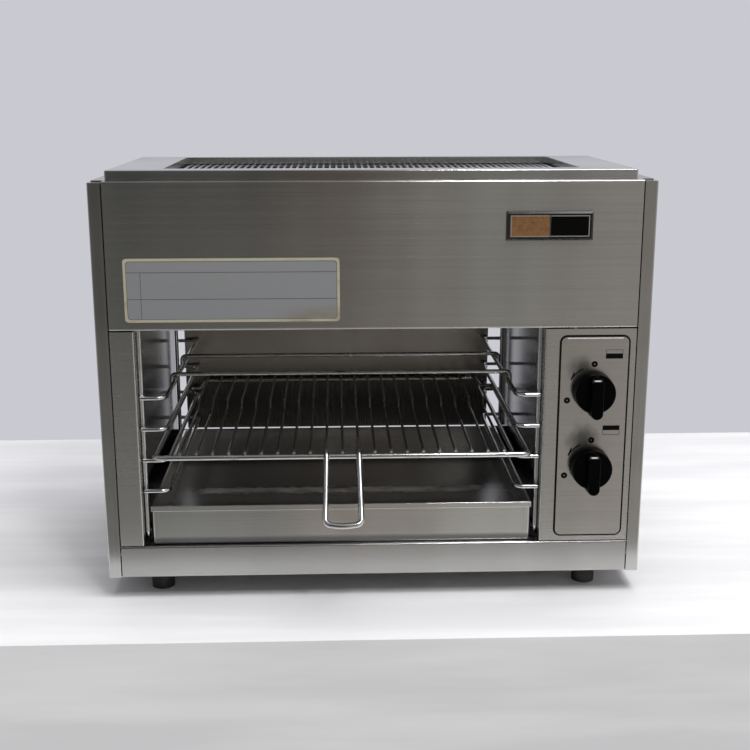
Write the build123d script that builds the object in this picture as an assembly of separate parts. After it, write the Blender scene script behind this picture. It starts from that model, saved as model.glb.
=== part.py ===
from build123d import *
import math
import os

# Overhead gas grill: two downward-firing ceramic burners over a pull-out wire rack and a drip tray.
# Every piece is drawn in the panel frame: x = 0 at the middle of the body, y = 0 at the front face
# and z = 0 at the lower edge of the panels. write_node then stands it on its feet.

# Body
body_width = 480.0
body_depth = 262.0
foot_height = 20.0
sheet = 1.2
seam_gap = 1.0
fit_gap = 0.3
post_height = 226.5
fascia_top = 353.4
cover_top = 362.0
hem_bend = 1.0
hole_gap = 1.0
overcut = 1.0

# Left and right front columns
side_flange = 11.2
post_width = 20.8
control_panel_width = 79.7
base_front_height = 29.2
panel_return = 12.0
fascia_hem = 8.0
inner_flange = 10.0
wall_set_left = 2.4
wall_set_right = 2.7
heat_shelf_drop = 22.0
side_top_flange = 20.0
side_rear_flange = 10.0

# Rear opening and the reflector that stands in front of it
rear_open_side_right = 4.2
rear_open_bottom = 63.5
rear_open_top = 205.0
reflector_side_left = 12.4
reflector_side_right = 19.0
reflector_bottom = 66.0
reflector_top = 244.0
reflector_ear_bottom = 210.0
reflector_rear_gap = 5.6

# Top cover and its grille
cover_side_left = 14.1
cover_side_right = 16.5
cover_front = 4.9
cover_rear_gap = 54.0
cover_open_left = 60.4
cover_open_right = 62.0
cover_open_front = 26.8
cover_open_rear_gap = 69.0
cover_sheet = 1.0
cover_edge_radius = 1.0
cover_corner_radius = 1.5
cover_lip_depth = 6.1
grille_rod = 2.0
grille_pitch = 6.2
grille_bar_width = 8.0
grille_bar_thickness = 1.0
grille_bar_count = 3
deck_open_margin = 3.0
deck_slot_count = 9
deck_slot_length = 26.0
deck_slot_width = 6.0

# Burners
burner_end_gap = 29.6
burner_width = 100.0
burner_height = 40.0
burner_underside = 232.0
burner_sheet = 1.5
burner_front_y = 22.0
burner_pitch = 106.0
burner_ear = 16.0
plaque_length = 132.0
plaque_width = 92.0
plaque_thickness = 13.0
plaque_lip = 4.0
bracket_leg = 20.0
bracket_height = 18.0
baffle_level = 318.0
baffle_slot_count = 10
baffle_slot_length = 130.0
baffle_slot_width = 8.0
baffle_edge = 12.0

# Gas train
tube_outer = 26.0
tube_wall = 1.2
tube_reach = 45.8
mouth_outer = 36.0
mouth_length = 14.0
tube_hole_gap = 2.0
burner_axis_drop = 19.0
shutter_wall = 1.0
shutter_length = 8.0
shutter_running_gap = 0.05
window_width = 7.0
window_length = 4.0
nozzle_across = 10.0
nozzle_tip = 7.0
nozzle_length = 14.0
nozzle_bore = 1.4
nozzle_gap = 6.0
cock_outer = 30.0
cock_length = 46.0
cock_bore = 18.0
plug_running_gap = 0.05
plug_length = 20.0
plug_port = 5.0
outlet_wall = 2.0
outlet_reach = 4.0
cock_end_wall = 4.0
spindle_diameter = 8.0
spindle_flat = 1.5
spindle_running_gap = 0.05
spindle_hole = 10.0
collar_diameter = 14.0
collar_thickness = 2.5
push_travel = 3.5
spring_wire = 1.0
spring_outer = 12.0
spring_turns = 5
pipe_diameter = 8.0
pipe_bend = 10.0
manifold_side = 18.0
manifold_top_margin = 12.0
supply_level = 60.0
supply_diameter = 16.0
inlet_radius = 10.5
inlet_length = 18.0
inlet_reach = 24.0
inlet_hex = 26.0
igniter_diameter = 13.0
igniter_length = 44.0
lead_post_length = 5.0
lead_post_wall = 1.0
electrode_diameter = 5.0
electrode_length = 30.0
electrode_collar = 2.0
electrode_tip = 2.0
lead_diameter = 2.6
lead_reach = 14.0
lead_bend = 9.8

# Knobs: the upper one works the front burner, the lower one the rear burner
knob_inset = 36.2
knob_upper_z = 169.8
knob_pitch = 69.3
knob_clearance = 0.5
disc_diameter = 36.0
disc_thickness = 8.5
disc_draft = 3.0
disc_edge = 1.0
grip_width = 12.0
grip_lower_reach = 21.6
grip_upper_reach = 16.8
grip_height = 12.5
grip_root = 4.0
grip_draft = 4.0
grip_edge = 1.2
grip_bevel = 5.0
plate_margin_left = 14.3
plate_margin_right = 6.5
plate_margin_bottom = 7.0
plate_margin_top = 8.1
plate_thickness = 1.0
plate_corner = 5.0

# Badge and notice plate, both bare
badge_margin = 42.7
badge_width = 73.6
badge_bottom = 302.8
badge_height = 24.4
badge_thickness = 4.0
badge_border = 2.6
badge_bevel = 1.6
badge_split = 0.5
badge_inset = 1.2
notice_left = 14.4
notice_width = 183.4
notice_bottom = 234.0
notice_height = 54.8
notice_thickness = 0.4
notice_corner = 5.0

# Rack guides
guide_wire = 4.0
guide_leg_inset_left = 4.7
guide_leg_inset_right = 5.0
guide_front_y = 12.0
guide_rear_gap = 16.1
guide_rail_left = 26.0
guide_rail_right = 25.0
guide_corner = 8.0
guide_lap_end = 1.0
guide_foot_level = 34.5
guide_foot_bend = 6.0
guide_foot_reach = 14.0
guide_top_level = 238.0
rung_count = 4
rung_top_level = 164.8
rung_pitch = 28.5
rack_rung_index = 2
touch_gap = 0.1
cross_wire_front_y = 80.0
cross_wire_rear_y = 157.0
cross_wire_hook = 6.0
clip_height = 8.0
clip_side = 7.0

# Rack
rack_wire = 5.0
rack_side_gap_left = 5.5
rack_side_gap_right = 3.9
rack_corner = 9.0
rack_front_y = -3.7
rack_rear_gap = 12.1
rack_rise = 8.4
rack_rise_run = 5.5
rack_rise_bend = 4.0
rack_low_end = 14.4
rod_wire = 2.6
rod_side_margin = 20.0
rod_pitch = 14.3
rod_step_y = 142.0
rod_step_run = 8.0
rod_end_inset = 1.0
handle_wire = 5.0
handle_start_y = 30.0
handle_tip_y = -58.5
handle_tip_z = 69.0
handle_knee_y = -4.1
handle_half_width = 14.3
handle_tip_half_width = 15.4
handle_bend = 10.0
handle_tip_bend = 5.0
handle_bow = 2.2
handle_bow_radius = 45.0

# Drip tray
tray_side_gap_left = 9.1
tray_side_gap_right = 9.7
tray_front_y = 4.0
tray_rear_gap = 16.0
tray_height = 36.5
tray_wall = 1.0
tray_hem = 1.0
tray_hem_height = 5.0
tray_hem_edge = 0.4
tray_corner = 1.8
tray_flap = 4.0
tray_flap_proud = 0.6

# Feet
foot_diameter = 21.5
foot_taper = 1.5
foot_inset_x = 44.0
foot_inset_front = 29.5
foot_inset_rear = 29.5
foot_screw = 5.0
foot_screw_head = 9.0
foot_screw_head_height = 3.0
foot_recess = 6.0
foot_nut = 8.0
foot_nut_height = 4.0
body_screw = 4.0
body_screw_head = 7.6
body_screw_head_height = 2.0
body_screw_edge = 0.8
body_screw_reach = 5.0
body_screw_rows = 4

# Places worked out from the sizes above
half_body = body_width / 2
panel_left = -half_body + side_flange + seam_gap
panel_right = half_body - side_flange - seam_gap
opening_left = panel_left + post_width
opening_right = panel_right - control_panel_width
cavity_left = opening_left - wall_set_left
cavity_right = opening_right + wall_set_right
cavity_width = cavity_right - cavity_left
cavity_centre = (cavity_left + cavity_right) / 2
knob_panel_gap = push_travel + plate_thickness + knob_clearance
cover_rear = body_depth - cover_rear_gap
cover_open_rear = body_depth - cover_open_rear_gap
guide_rear_y = body_depth - guide_rear_gap
guide_lap = guide_wire + touch_gap
rack_rear_y = body_depth - rack_rear_gap
tray_rear_y = body_depth - tray_rear_gap
knob_x = panel_right - knob_inset
tube_end_x = cavity_right + tube_reach
badge_left = panel_right - badge_margin - badge_width
burner_length = cavity_width - 2 * burner_end_gap
plaque_count = math.floor((burner_length - 2 * burner_sheet) / plaque_length)
side_top = fascia_top - sheet
reflector_y = body_depth - reflector_rear_gap - 2 * sheet
inner_front_y = panel_return
inner_rear_y = body_depth - sheet - fit_gap
floor_level = base_front_height
rung_levels = [rung_top_level - i * rung_pitch for i in range(rung_count)]
rack_level = rung_levels[rack_rung_index] + guide_wire / 2 + rack_wire / 2 + fit_gap
rod_level = rack_level + rack_wire / 2 + rod_wire / 2 + touch_gap
handle_level = rack_level + rack_wire / 2 + handle_wire / 2 + touch_gap
tray_left = cavity_left + tray_side_gap_left
tray_right = cavity_right - tray_side_gap_right
burner_left = cavity_centre - burner_length / 2
burner_right = cavity_centre + burner_length / 2
burner_top = burner_underside + burner_height
burner_axis_z = burner_top - burner_axis_drop
burner_starts = {"front": burner_front_y, "rear": burner_front_y + burner_pitch}
knob_levels = {"front": knob_upper_z, "rear": knob_upper_z - knob_pitch}
cock_front_y = sheet + fit_gap
cock_rear_y = cock_front_y + cock_length
plug_rear_y = cock_rear_y - cock_end_wall - fit_gap
plug_front_y = plug_rear_y - plug_length
collar_front_y = cock_front_y + cock_end_wall + touch_gap
spindle_rear_y = collar_front_y + collar_thickness
manifold_y = cock_rear_y + fit_gap + manifold_side / 2
handle_reach = -handle_tip_y + handle_wire / 2
front_plane_y = (handle_reach - body_depth - inlet_reach) / 2


def block(x0, x1, y0, y1, z0, z1):
    """A box between two corners."""
    middle = Pos((x0 + x1) / 2, (y0 + y1) / 2, (z0 + z1) / 2)
    return middle * Box(x1 - x0, y1 - y0, z1 - z0)


def rod_along(axis, diameter, length, x, y, z):
    """A round bar that starts at a point and runs the given length along an axis."""
    start = {"x": Plane.YZ, "y": Plane.XZ, "z": Plane.XY}[axis]
    run = -length if axis == "y" else length
    return Pos(x, y, z) * extrude(start * Circle(diameter / 2), run)


def ring_along(axis, outer, bore, length, x, y, z):
    """A round tube that starts at a point and runs the given length along an axis."""
    return rod_along(axis, outer, length, x, y, z) - rod_along(axis, bore, length, x, y, z)


def wire(points, bend, diameter):
    """A bent round wire through the given corners."""
    path = FilletPolyline(*points, radius=bend)
    return sweep(Plane(path @ 0, z_dir=path % 0) * Circle(diameter / 2), path=path)


def folded(points, bend, thickness):
    """The flat section of a sheet bent along the given line."""
    return trace(FilletPolyline(*points, radius=bend), thickness)


def across(section, x0, x1):
    """A section drawn in y and z, run from x0 to x1."""
    return Pos(x0, 0, 0) * extrude(Plane.YZ * section, x1 - x0)


def upright(section, z0, z1):
    """A section drawn in x and y, run from z0 to z1."""
    return Pos(0, 0, z0) * extrude(section, z1 - z0)


def write_node(name, *pieces):
    """Stands the pieces of one node on the feet, centres them in depth and writes them."""
    placed = [Pos(0, front_plane_y, foot_height) * piece for piece in pieces]
    solids = [solid for piece in placed for solid in piece.solids()]
    export_step(solids[0] if len(solids) == 1 else Compound(solids), f"parts/{name}.step")


def side_panel(side):
    """Outer side: a wall with front, rear and top flanges turned in."""
    wall = side * (half_body - sheet / 2)
    front_edge = side * (half_body - side_flange)
    rear_edge = side * (half_body - side_rear_flange)
    plan = [(front_edge, sheet / 2), (wall, sheet / 2), (wall, body_depth - sheet / 2),
            (rear_edge, body_depth - sheet / 2)]
    panel = upright(folded(plan, hem_bend, sheet), 0, side_top)
    top_edge = side * (half_body - side_top_flange)
    x0, x1 = sorted((side * (half_body - sheet), top_edge))
    inset = sheet + hem_bend
    return panel + block(x0, x1, inset, body_depth - inset, side_top - sheet, side_top)


def front_fascia():
    """Wide front sheet over the cavity, folded back along its top and its lower hem."""
    half = sheet / 2
    section = [(panel_return, fascia_top - half), (half, fascia_top - half),
               (half, post_height + half), (fascia_hem, post_height + half)]
    return across(folded(section, hem_bend, sheet), panel_left, panel_right)


def front_post():
    """Narrow left column, folded back along the cavity."""
    half = sheet / 2
    fold_x = opening_left - half
    plan = [(panel_left, half), (fold_x, half), (fold_x, panel_return - fit_gap)]
    return upright(folded(plan, hem_bend, sheet), floor_level + seam_gap, post_height - seam_gap)


def control_panel():
    """Right column that carries both gas cocks, folded back along the cavity."""
    half = sheet / 2
    fold_x = opening_right + half
    plan = [(panel_right, half), (fold_x, half), (fold_x, panel_return - fit_gap)]
    panel = upright(folded(plan, hem_bend, sheet), floor_level + seam_gap, post_height - seam_gap)
    for level in knob_levels.values():
        panel -= rod_along("y", spindle_hole, 3 * sheet, knob_x, -sheet, level)
    return panel


def control_plate():
    """Thin dial plate around both knobs."""
    x0 = opening_right + plate_margin_left
    x1 = panel_right - plate_margin_right
    z0 = floor_level + plate_margin_bottom
    z1 = post_height - plate_margin_top
    outline = RectangleRounded(x1 - x0, z1 - z0, plate_corner)
    plate = extrude(Plane.XZ * outline, plate_thickness)
    plate = Pos((x0 + x1) / 2, 0, (z0 + z1) / 2) * plate
    for level in knob_levels.values():
        plate -= rod_along("y", spindle_hole, 3 * plate_thickness, knob_x, -2 * plate_thickness, level)
    return plate


def badge_frame():
    """Bevelled frame of the bare badge, with two shallow cells."""
    plane = Plane.XZ
    outer = extrude(plane * Rectangle(badge_width, badge_height), badge_thickness)
    outer = chamfer(outer.faces().sort_by(Axis.Y)[0].edges(), badge_bevel)
    cell_width = (badge_width - 2 * badge_border - badge_split) / 2
    cell_height = badge_height - 2 * badge_border
    for side in (-1, 1):
        middle = side * (cell_width + badge_split) / 2
        cell_y = -badge_thickness + badge_inset / 2
        outer -= Pos(middle, cell_y, 0) * Box(cell_width, badge_inset, cell_height)
    return badge_place() * outer


def badge_place():
    """Middle of the badge on the fascia."""
    return Pos(badge_left + badge_width / 2, 0, badge_bottom + badge_height / 2)


def badge_plates():
    """The two bare inlays of the badge."""
    cell_width = (badge_width - 2 * badge_border - badge_split) / 2 - 2 * touch_gap
    cell_height = badge_height - 2 * badge_border - 2 * touch_gap
    depth = badge_inset / 2
    plates = []
    for side in (-1, 1):
        middle = side * (badge_width - 2 * badge_border + badge_split) / 4
        centre_y = -badge_thickness + badge_inset - depth / 2
        plates.append(badge_place() * Pos(middle, centre_y, 0) * Box(cell_width, depth, cell_height))
    return plates


def notice_plate():
    """Thin bare plate on the left of the fascia."""
    outline = RectangleRounded(notice_width, notice_height, notice_corner)
    plate = extrude(Plane.XZ * outline, notice_thickness)
    middle_x = panel_left + notice_left + notice_width / 2
    return Pos(middle_x, 0, notice_bottom + notice_height / 2) * plate


def base_pan():
    """Bottom sheet with the front strip under the cavity and a low rear wall."""
    half = sheet / 2
    section = [(panel_return, floor_level - half), (half, floor_level - half), (half, half),
               (body_depth - half, half), (body_depth - half, rear_open_bottom - seam_gap)]
    left = -half_body + sheet + seam_gap
    right = half_body - sheet - seam_gap
    pan = across(folded(section, hem_bend, sheet), left, right)
    for x0, x1 in ((left, panel_left), (panel_right, right)):
        outer0 = x0 - overcut if x0 == left else x0
        outer1 = x1 if x0 == left else x1 + overcut
        pan -= block(outer0, outer1, -overcut, sheet + fit_gap, -overcut, floor_level + overcut)
    flange_depth = side_rear_flange + seam_gap
    for x0, x1 in ((-half_body, -half_body + flange_depth), (half_body - flange_depth, half_body)):
        pan -= block(x0, x1, body_depth - sheet - fit_gap, body_depth + overcut, -overcut, rear_open_bottom)
    for foot in foot_places():
        pan -= Pos(*foot, 0) * Cylinder(foot_screw / 2 + fit_gap, 4 * sheet)
    return pan - inlet_hole()


def inlet_hole():
    """Clearance hole of the gas inlet through the rear sheets."""
    hole = supply_diameter + 2 * hole_gap
    return rod_along("y", hole, 8 * sheet, knob_x, body_depth - 4 * sheet, supply_level)


def foot_places():
    """Centres of the four feet."""
    xs = (-half_body + foot_inset_x, half_body - foot_inset_x)
    ys = (foot_inset_front, body_depth - foot_inset_rear)
    return [(x, y) for x in xs for y in ys]


def floor_plate():
    """Cavity floor under the drip tray, standing on two folded sides."""
    half = sheet / 2
    inset = sheet + fit_gap
    x0 = cavity_left - sheet + inset
    x1 = cavity_right + sheet - inset
    section = [(x0 + half, sheet), (x0 + half, floor_level - half),
               (x1 - half, floor_level - half), (x1 - half, sheet)]
    profile = Plane.XZ * folded(section, hem_bend, sheet)
    run = extrude(profile, -(reflector_y - fit_gap - panel_return - fit_gap))
    return Pos(0, panel_return + fit_gap, 0) * run


def inner_side(x, side):
    """Polished cavity wall with flanges and a high shelf turned out, away from the cavity."""
    middle = x + side * sheet / 2
    outer = middle + side * inner_flange
    plan = [(outer, inner_front_y + sheet / 2), (middle, inner_front_y + sheet / 2),
            (middle, inner_rear_y - sheet / 2), (outer, inner_rear_y - sheet / 2)]
    wall = upright(folded(plan, hem_bend, sheet), sheet, side_top - fit_gap)
    x0, x1 = sorted((middle, side * (half_body - sheet - fit_gap)))
    shelf_z = side_top - heat_shelf_drop
    inset = sheet + hem_bend
    return wall + block(x0, x1, inner_front_y + inset, inner_rear_y - inset, shelf_z - sheet, shelf_z)


def inner_side_left():
    """Left cavity wall."""
    return inner_side(cavity_left, -1)


def partition():
    """Right cavity wall between the cavity and the gas train, with holes for both mixing tubes."""
    wall = inner_side(cavity_right, 1)
    hole = tube_outer + 2 * tube_hole_gap
    for start in burner_starts.values():
        y = start + burner_width / 2
        wall -= rod_along("x", hole, 4 * sheet, cavity_right - sheet, y, burner_axis_z)
        wall -= rod_along("x", electrode_diameter + 2 * hole_gap, 4 * sheet, cavity_right - sheet,
                          y + electrode_offset(), electrode_level())
    return wall


def electrode_offset():
    """Distance of each electrode behind its burner's middle."""
    return tube_outer / 2 + tube_hole_gap + electrode_diameter


def electrode_level():
    """Height of the electrodes, just under the burners."""
    return burner_underside - electrode_diameter / 2 - fit_gap


def rear_frame():
    """Outer back with a wide opening behind the cavity."""
    left = -half_body + side_rear_flange + seam_gap
    right = half_body - side_rear_flange - seam_gap
    frame = block(left, right, body_depth - sheet, body_depth, rear_open_bottom, side_top)
    edge = cavity_right - rear_open_side_right
    frame -= block(cavity_left, edge, 0, 2 * body_depth, rear_open_bottom - sheet, rear_open_top)
    return frame - inlet_hole()


def back_reflector():
    """Dark sheet behind the rack that lets draught pass on both sides, held by two high ears."""
    left = cavity_left + reflector_side_left
    right = cavity_right - reflector_side_right
    y0, y1 = reflector_y, reflector_y + sheet
    sheet_body = block(left, right, y0, y1, reflector_bottom, reflector_top)
    ears = block(cavity_left + fit_gap, cavity_right - fit_gap, y0, y1, reflector_ear_bottom, reflector_top)
    fold_y = body_depth - sheet - 2 * fit_gap
    for x in (cavity_left + fit_gap, cavity_right - fit_gap - sheet):
        ears += block(x, x + sheet, y0, fold_y, reflector_ear_bottom, reflector_top)
    return sheet_body + ears


def roof_deck():
    """Sheet under the cover with the flue opening and a row of slots at the back."""
    left = -half_body + sheet + fit_gap
    right = half_body - sheet - fit_gap
    deck = block(left, right, panel_return + fit_gap, body_depth - sheet - fit_gap, side_top, fascia_top)
    x0, x1, y0, y1 = cover_opening()
    deck -= block(x0 - deck_open_margin, x1 + deck_open_margin, y0 - deck_open_margin, y1 + deck_open_margin,
                  0, cover_top)
    slot_y = (cover_rear + body_depth) / 2
    slot_pitch = cavity_width / deck_slot_count
    for i in range(deck_slot_count):
        x = cavity_left + (i + 0.5) * slot_pitch
        slot = extrude(SlotOverall(deck_slot_length, deck_slot_width), cover_top)
        deck -= Pos(x, slot_y, 0) * slot
    return deck


def cover_opening():
    """Left, right, front and rear edges of the opening in the top cover."""
    return (-half_body + cover_open_left, half_body - cover_open_right, cover_open_front, cover_open_rear)


def top_cover():
    """Shallow upturned tray with its edges folded down and a lip around the grille."""
    x0, x1 = -half_body + cover_side_left, half_body - cover_side_right
    rise = cover_top - fascia_top
    middle = Pos((x0 + x1) / 2, (cover_front + cover_rear) / 2, fascia_top)
    width, depth = x1 - x0, cover_rear - cover_front
    outer = extrude(RectangleRounded(width, depth, cover_corner_radius), rise)
    outer = fillet(outer.faces().sort_by(Axis.Z)[-1].edges(), cover_edge_radius)
    inner_corner = cover_corner_radius - cover_sheet
    hollow = extrude(RectangleRounded(width - 2 * cover_sheet, depth - 2 * cover_sheet, inner_corner),
                     rise - cover_sheet)
    cover = middle * (outer - hollow)
    a, b, c, d = cover_opening()
    lip_level = cover_top - cover_lip_depth
    lip = block(a - cover_sheet, b + cover_sheet, c - cover_sheet, d + cover_sheet, lip_level,
                cover_top - cover_sheet / 2)
    cover = cover + lip
    return cover - block(a, b, c, d, 0, 2 * cover_top)


def top_grille():
    """Row of thin rods over the flue, welded on flat bars."""
    a, b, c, d = cover_opening()
    count = math.floor((b - a) / grille_pitch)
    span = (count - 1) * grille_pitch
    overlap = deck_open_margin + cover_sheet
    bar_top = fascia_top + grille_bar_thickness
    rod_z = cover_top - cover_lip_depth - fit_gap - grille_rod / 2
    rods = [rod_along("y", grille_rod, d - c + 2 * overlap, (a + b) / 2 - span / 2 + i * grille_pitch,
                      c - overlap, rod_z) for i in range(count)]
    bar_span = (d - c) - grille_bar_width
    bars = []
    for i in range(grille_bar_count):
        y = c + grille_bar_width / 2 + i * bar_span / (grille_bar_count - 1)
        bars.append(block(a - 3 * overlap, b + 3 * overlap, y - grille_bar_width / 2,
                          y + grille_bar_width / 2, fascia_top, bar_top))
    return bars[0].fuse(*bars[1:], *rods)


def flue_baffle():
    """Slotted sheet over the burners, held between the cavity walls by two folded edges."""
    half = sheet / 2
    x0 = cavity_left + fit_gap
    x1 = cavity_right - fit_gap
    section = [(x0 + half, baffle_level - baffle_edge), (x0 + half, baffle_level),
               (x1 - half, baffle_level), (x1 - half, baffle_level - baffle_edge)]
    y0 = panel_return + fit_gap
    y1 = reflector_y
    sheet_body = Pos(0, y0, 0) * extrude(Plane.XZ * folded(section, hem_bend, sheet), y0 - y1)
    pitch = (x1 - x0) / baffle_slot_count
    for i in range(baffle_slot_count):
        x = x0 + (i + 0.5) * pitch
        slot = extrude(Rot(0, 0, 90) * SlotOverall(baffle_slot_length, baffle_slot_width), 2 * sheet)
        sheet_body -= Pos(x, (y0 + y1) / 2, baffle_level - sheet) * slot
    return sheet_body


def burner_box(start):
    """Burner casing, open below, with a lip that holds the plaques and an ear at each end."""
    x0, x1 = burner_left, burner_right
    y0, y1 = start, start + burner_width
    t = burner_sheet
    box = block(x0, x1, y0, y1, burner_underside, burner_top)
    box -= block(x0 + t, x1 - t, y0 + t, y1 - t, burner_underside + t, burner_top - t)
    box -= block(x0 + t + plaque_lip, x1 - t - plaque_lip, y0 + t + plaque_lip, y1 - t - plaque_lip,
                 burner_underside - overcut, burner_underside + 2 * t)
    for a, b in ((x0 - burner_ear, x0), (x1, x1 + burner_ear)):
        box += block(a, b, y0 + burner_ear, y1 - burner_ear, burner_top - t, burner_top)
    tube = rod_along("x", tube_outer + 2 * touch_gap, 4 * t, x1 - 2 * t, (y0 + y1) / 2, burner_axis_z)
    return box - tube


def ceramic_plaques(start):
    """Perforated ceramic plaques side by side in a burner."""
    z0 = burner_underside + burner_sheet + touch_gap
    y0 = start + (burner_width - plaque_width) / 2
    gap = (burner_length - 2 * burner_sheet - plaque_count * plaque_length) / (plaque_count + 1)
    step = plaque_length + gap
    starts = [burner_left + burner_sheet + gap + i * step for i in range(plaque_count)]
    return [block(x, x + plaque_length, y0, y0 + plaque_width, z0, z0 + plaque_thickness) for x in starts]


def burner_brackets():
    """Angles on both cavity walls that carry the burners' ears."""
    top = burner_top - burner_sheet
    y0, y1 = burner_front_y, burner_front_y + burner_pitch + burner_width
    angles = []
    for x, side in ((cavity_left, 1), (cavity_right, -1)):
        half = sheet / 2
        section = [(x + side * half, top - bracket_height), (x + side * half, top - half),
                   (x + side * bracket_leg, top - half)]
        angle = extrude(Plane.XZ * folded(section, hem_bend, sheet), y0 - y1)
        angle = Pos(0, y0, 0) * angle
        if side < 0:
            for start in burner_starts.values():
                y = start + burner_width / 2
                hole = tube_outer + 2 * tube_hole_gap
                angle -= rod_along("x", hole, 3 * bracket_leg, x - 1.5 * bracket_leg, y, burner_axis_z)
        angles.append(angle)
    return angles


def mixing_tube(start):
    """Tube from the air mouth into the burner, with two air windows in its mouth."""
    y = start + burner_width / 2
    length = tube_end_x - burner_right + burner_sheet
    x0 = burner_right - burner_sheet
    tube = rod_along("x", tube_outer, length, x0, y, burner_axis_z)
    tube += rod_along("x", mouth_outer, mouth_length, tube_end_x - mouth_length, y, burner_axis_z)
    tube -= rod_along("x", tube_outer - 2 * tube_wall, length, x0, y, burner_axis_z)
    depth = mouth_outer - 4 * tube_wall
    tube -= rod_along("x", depth, mouth_length - tube_wall, tube_end_x - mouth_length + tube_wall, y,
                      burner_axis_z)
    window_x = tube_end_x - mouth_length / 2
    return tube - Pos(window_x, y, burner_axis_z) * Box(window_length, window_width, 2 * mouth_outer)


def air_shutter(start):
    """Turning ring on the mixing tube's mouth with matching windows."""
    y = start + burner_width / 2
    bore = mouth_outer + 2 * shutter_running_gap
    x0 = tube_end_x - mouth_length / 2 - shutter_length / 2
    ring = ring_along("x", bore + 2 * shutter_wall, bore, shutter_length, x0, y, burner_axis_z)
    window_x = tube_end_x - mouth_length / 2
    return ring - Pos(window_x, y, burner_axis_z) * Box(window_length, window_width, 2 * mouth_outer)


def gas_nozzle(start):
    """Hexagonal jet that points into the mixing tube."""
    y = start + burner_width / 2
    x0 = tube_end_x + nozzle_gap
    body = extrude(Plane.YZ * RegularPolygon(nozzle_across / 2, 6, major_radius=False), nozzle_length)
    body = Pos(x0, y, burner_axis_z) * body
    tip = Pos(x0, y, burner_axis_z) * extrude(Plane.YZ * Circle(nozzle_tip / 2), -nozzle_gap / 2)
    hole = rod_along("x", nozzle_bore, nozzle_length + nozzle_gap, x0 - nozzle_gap, y, burner_axis_z)
    return body + tip - hole


def gas_cock(name):
    """Cock body with a bore for the plug, a front bush for the spindle and an outlet boss."""
    level = knob_levels[name]
    body = rod_along("y", cock_outer, cock_length, knob_x, cock_front_y, level)
    bore_length = cock_length - 2 * cock_end_wall
    body -= rod_along("y", cock_bore, bore_length, knob_x, cock_front_y + cock_end_wall, level)
    bush = spindle_diameter + 2 * spindle_running_gap
    body -= rod_along("y", bush, 2 * cock_end_wall, knob_x, cock_front_y - overcut, level)
    port_y = cock_rear_y - cock_end_wall - overcut
    body -= rod_along("y", plug_port, 3 * cock_end_wall, knob_x, port_y, level)
    mid_y = plug_front_y + plug_length / 2
    outlet = pipe_diameter + 2 * outlet_wall
    if name == "front":
        boss = rod_along("z", outlet, cock_outer / 2 + outlet_reach, knob_x, mid_y, level)
        bore = rod_along("z", plug_port, cock_outer, knob_x, mid_y, level)
    else:
        boss = rod_along("x", outlet, cock_outer / 2 + outlet_reach, knob_x, mid_y, level)
        bore = rod_along("x", plug_port, cock_outer, knob_x, mid_y, level)
    boss -= rod_along("y", cock_bore, cock_length, knob_x, cock_front_y, level)
    return body + boss - bore


def cock_plug(name):
    """Turning plug with a cross port and a slot for the spindle's tongue."""
    level = knob_levels[name]
    diameter = cock_bore - 2 * plug_running_gap
    plug = rod_along("y", diameter, plug_length, knob_x, plug_front_y, level)
    mid_y = plug_front_y + plug_length / 2
    plug -= rod_along("y", plug_port, plug_length, knob_x, mid_y, level)
    return plug - rod_along("x", plug_port, diameter, knob_x, mid_y, level)


def spindle(name):
    """D-shaped spindle with the collar that the return spring pushes on."""
    level = knob_levels[name]
    front = -knob_panel_gap - disc_thickness + fit_gap
    shaft = rod_along("y", spindle_diameter, spindle_rear_y - front, knob_x, front, level)
    flat_y = -knob_panel_gap + fit_gap
    cut = block(knob_x - spindle_diameter, knob_x + spindle_diameter, front - overcut, flat_y,
                level + spindle_diameter / 2 - spindle_flat, level + spindle_diameter)
    collar = rod_along("y", collar_diameter, collar_thickness, knob_x, collar_front_y, level)
    return shaft - cut + collar


def return_spring(name):
    """Coil spring between the plug and the spindle's collar."""
    level = knob_levels[name]
    start_y = spindle_rear_y + spring_wire / 2 + touch_gap
    free_length = plug_front_y - spring_wire - 2 * touch_gap - spindle_rear_y
    radius = (spring_outer - spring_wire) / 2
    pitch = free_length / spring_turns
    path = Helix(pitch, free_length, radius)
    section = Plane(path @ 0, z_dir=path % 0) * Circle(spring_wire / 2)
    coil = sweep(section, path=path, is_frenet=True)
    gap = pitch - spring_wire
    print("least gap between the turns of the return spring", round(gap, 2), "mm")
    return Pos(knob_x, start_y, level) * Rot(-90, 0, 0) * coil


def knob(name):
    """Round disc with a grip bar let into its face, on the spindle's D shaft."""
    level = knob_levels[name]
    disc = extrude(Plane.XZ * Circle(disc_diameter / 2), disc_thickness, taper=disc_draft)
    disc = fillet(disc.edges().sort_by(Axis.Y)[0], disc_edge)
    body = disc + Pos(0, grip_root - disc_thickness, 0) * grip_bar()
    bore = spindle_diameter + 2 * fit_gap
    depth = disc_thickness
    shaft = rod_along("y", bore, depth, 0, -depth, 0)
    flat_z = spindle_diameter / 2 - spindle_flat + fit_gap
    shaft -= block(-bore, bore, -2 * depth, depth, flat_z, bore)
    return Pos(knob_x, -knob_panel_gap, level) * (body - shaft)


def grip_bar():
    """Upright bar of a knob, longer below the axis and bevelled at its upper end."""
    length = grip_lower_reach + grip_upper_reach
    middle = (grip_upper_reach - grip_lower_reach) / 2
    outline = Plane.XZ * SlotOverall(length, grip_width)
    bar = Rot(0, 90, 0) * extrude(outline, grip_height, taper=grip_draft)
    bar = fillet(bar.faces().sort_by(Axis.Y)[0].edges(), grip_edge)
    cut = Pos(0, -grip_height, length / 2) * Rot(45, 0, 0) * Box(2 * grip_width, grip_bevel, 2 * grip_bevel)
    return Pos(0, 0, middle) * (bar - cut)


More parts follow.
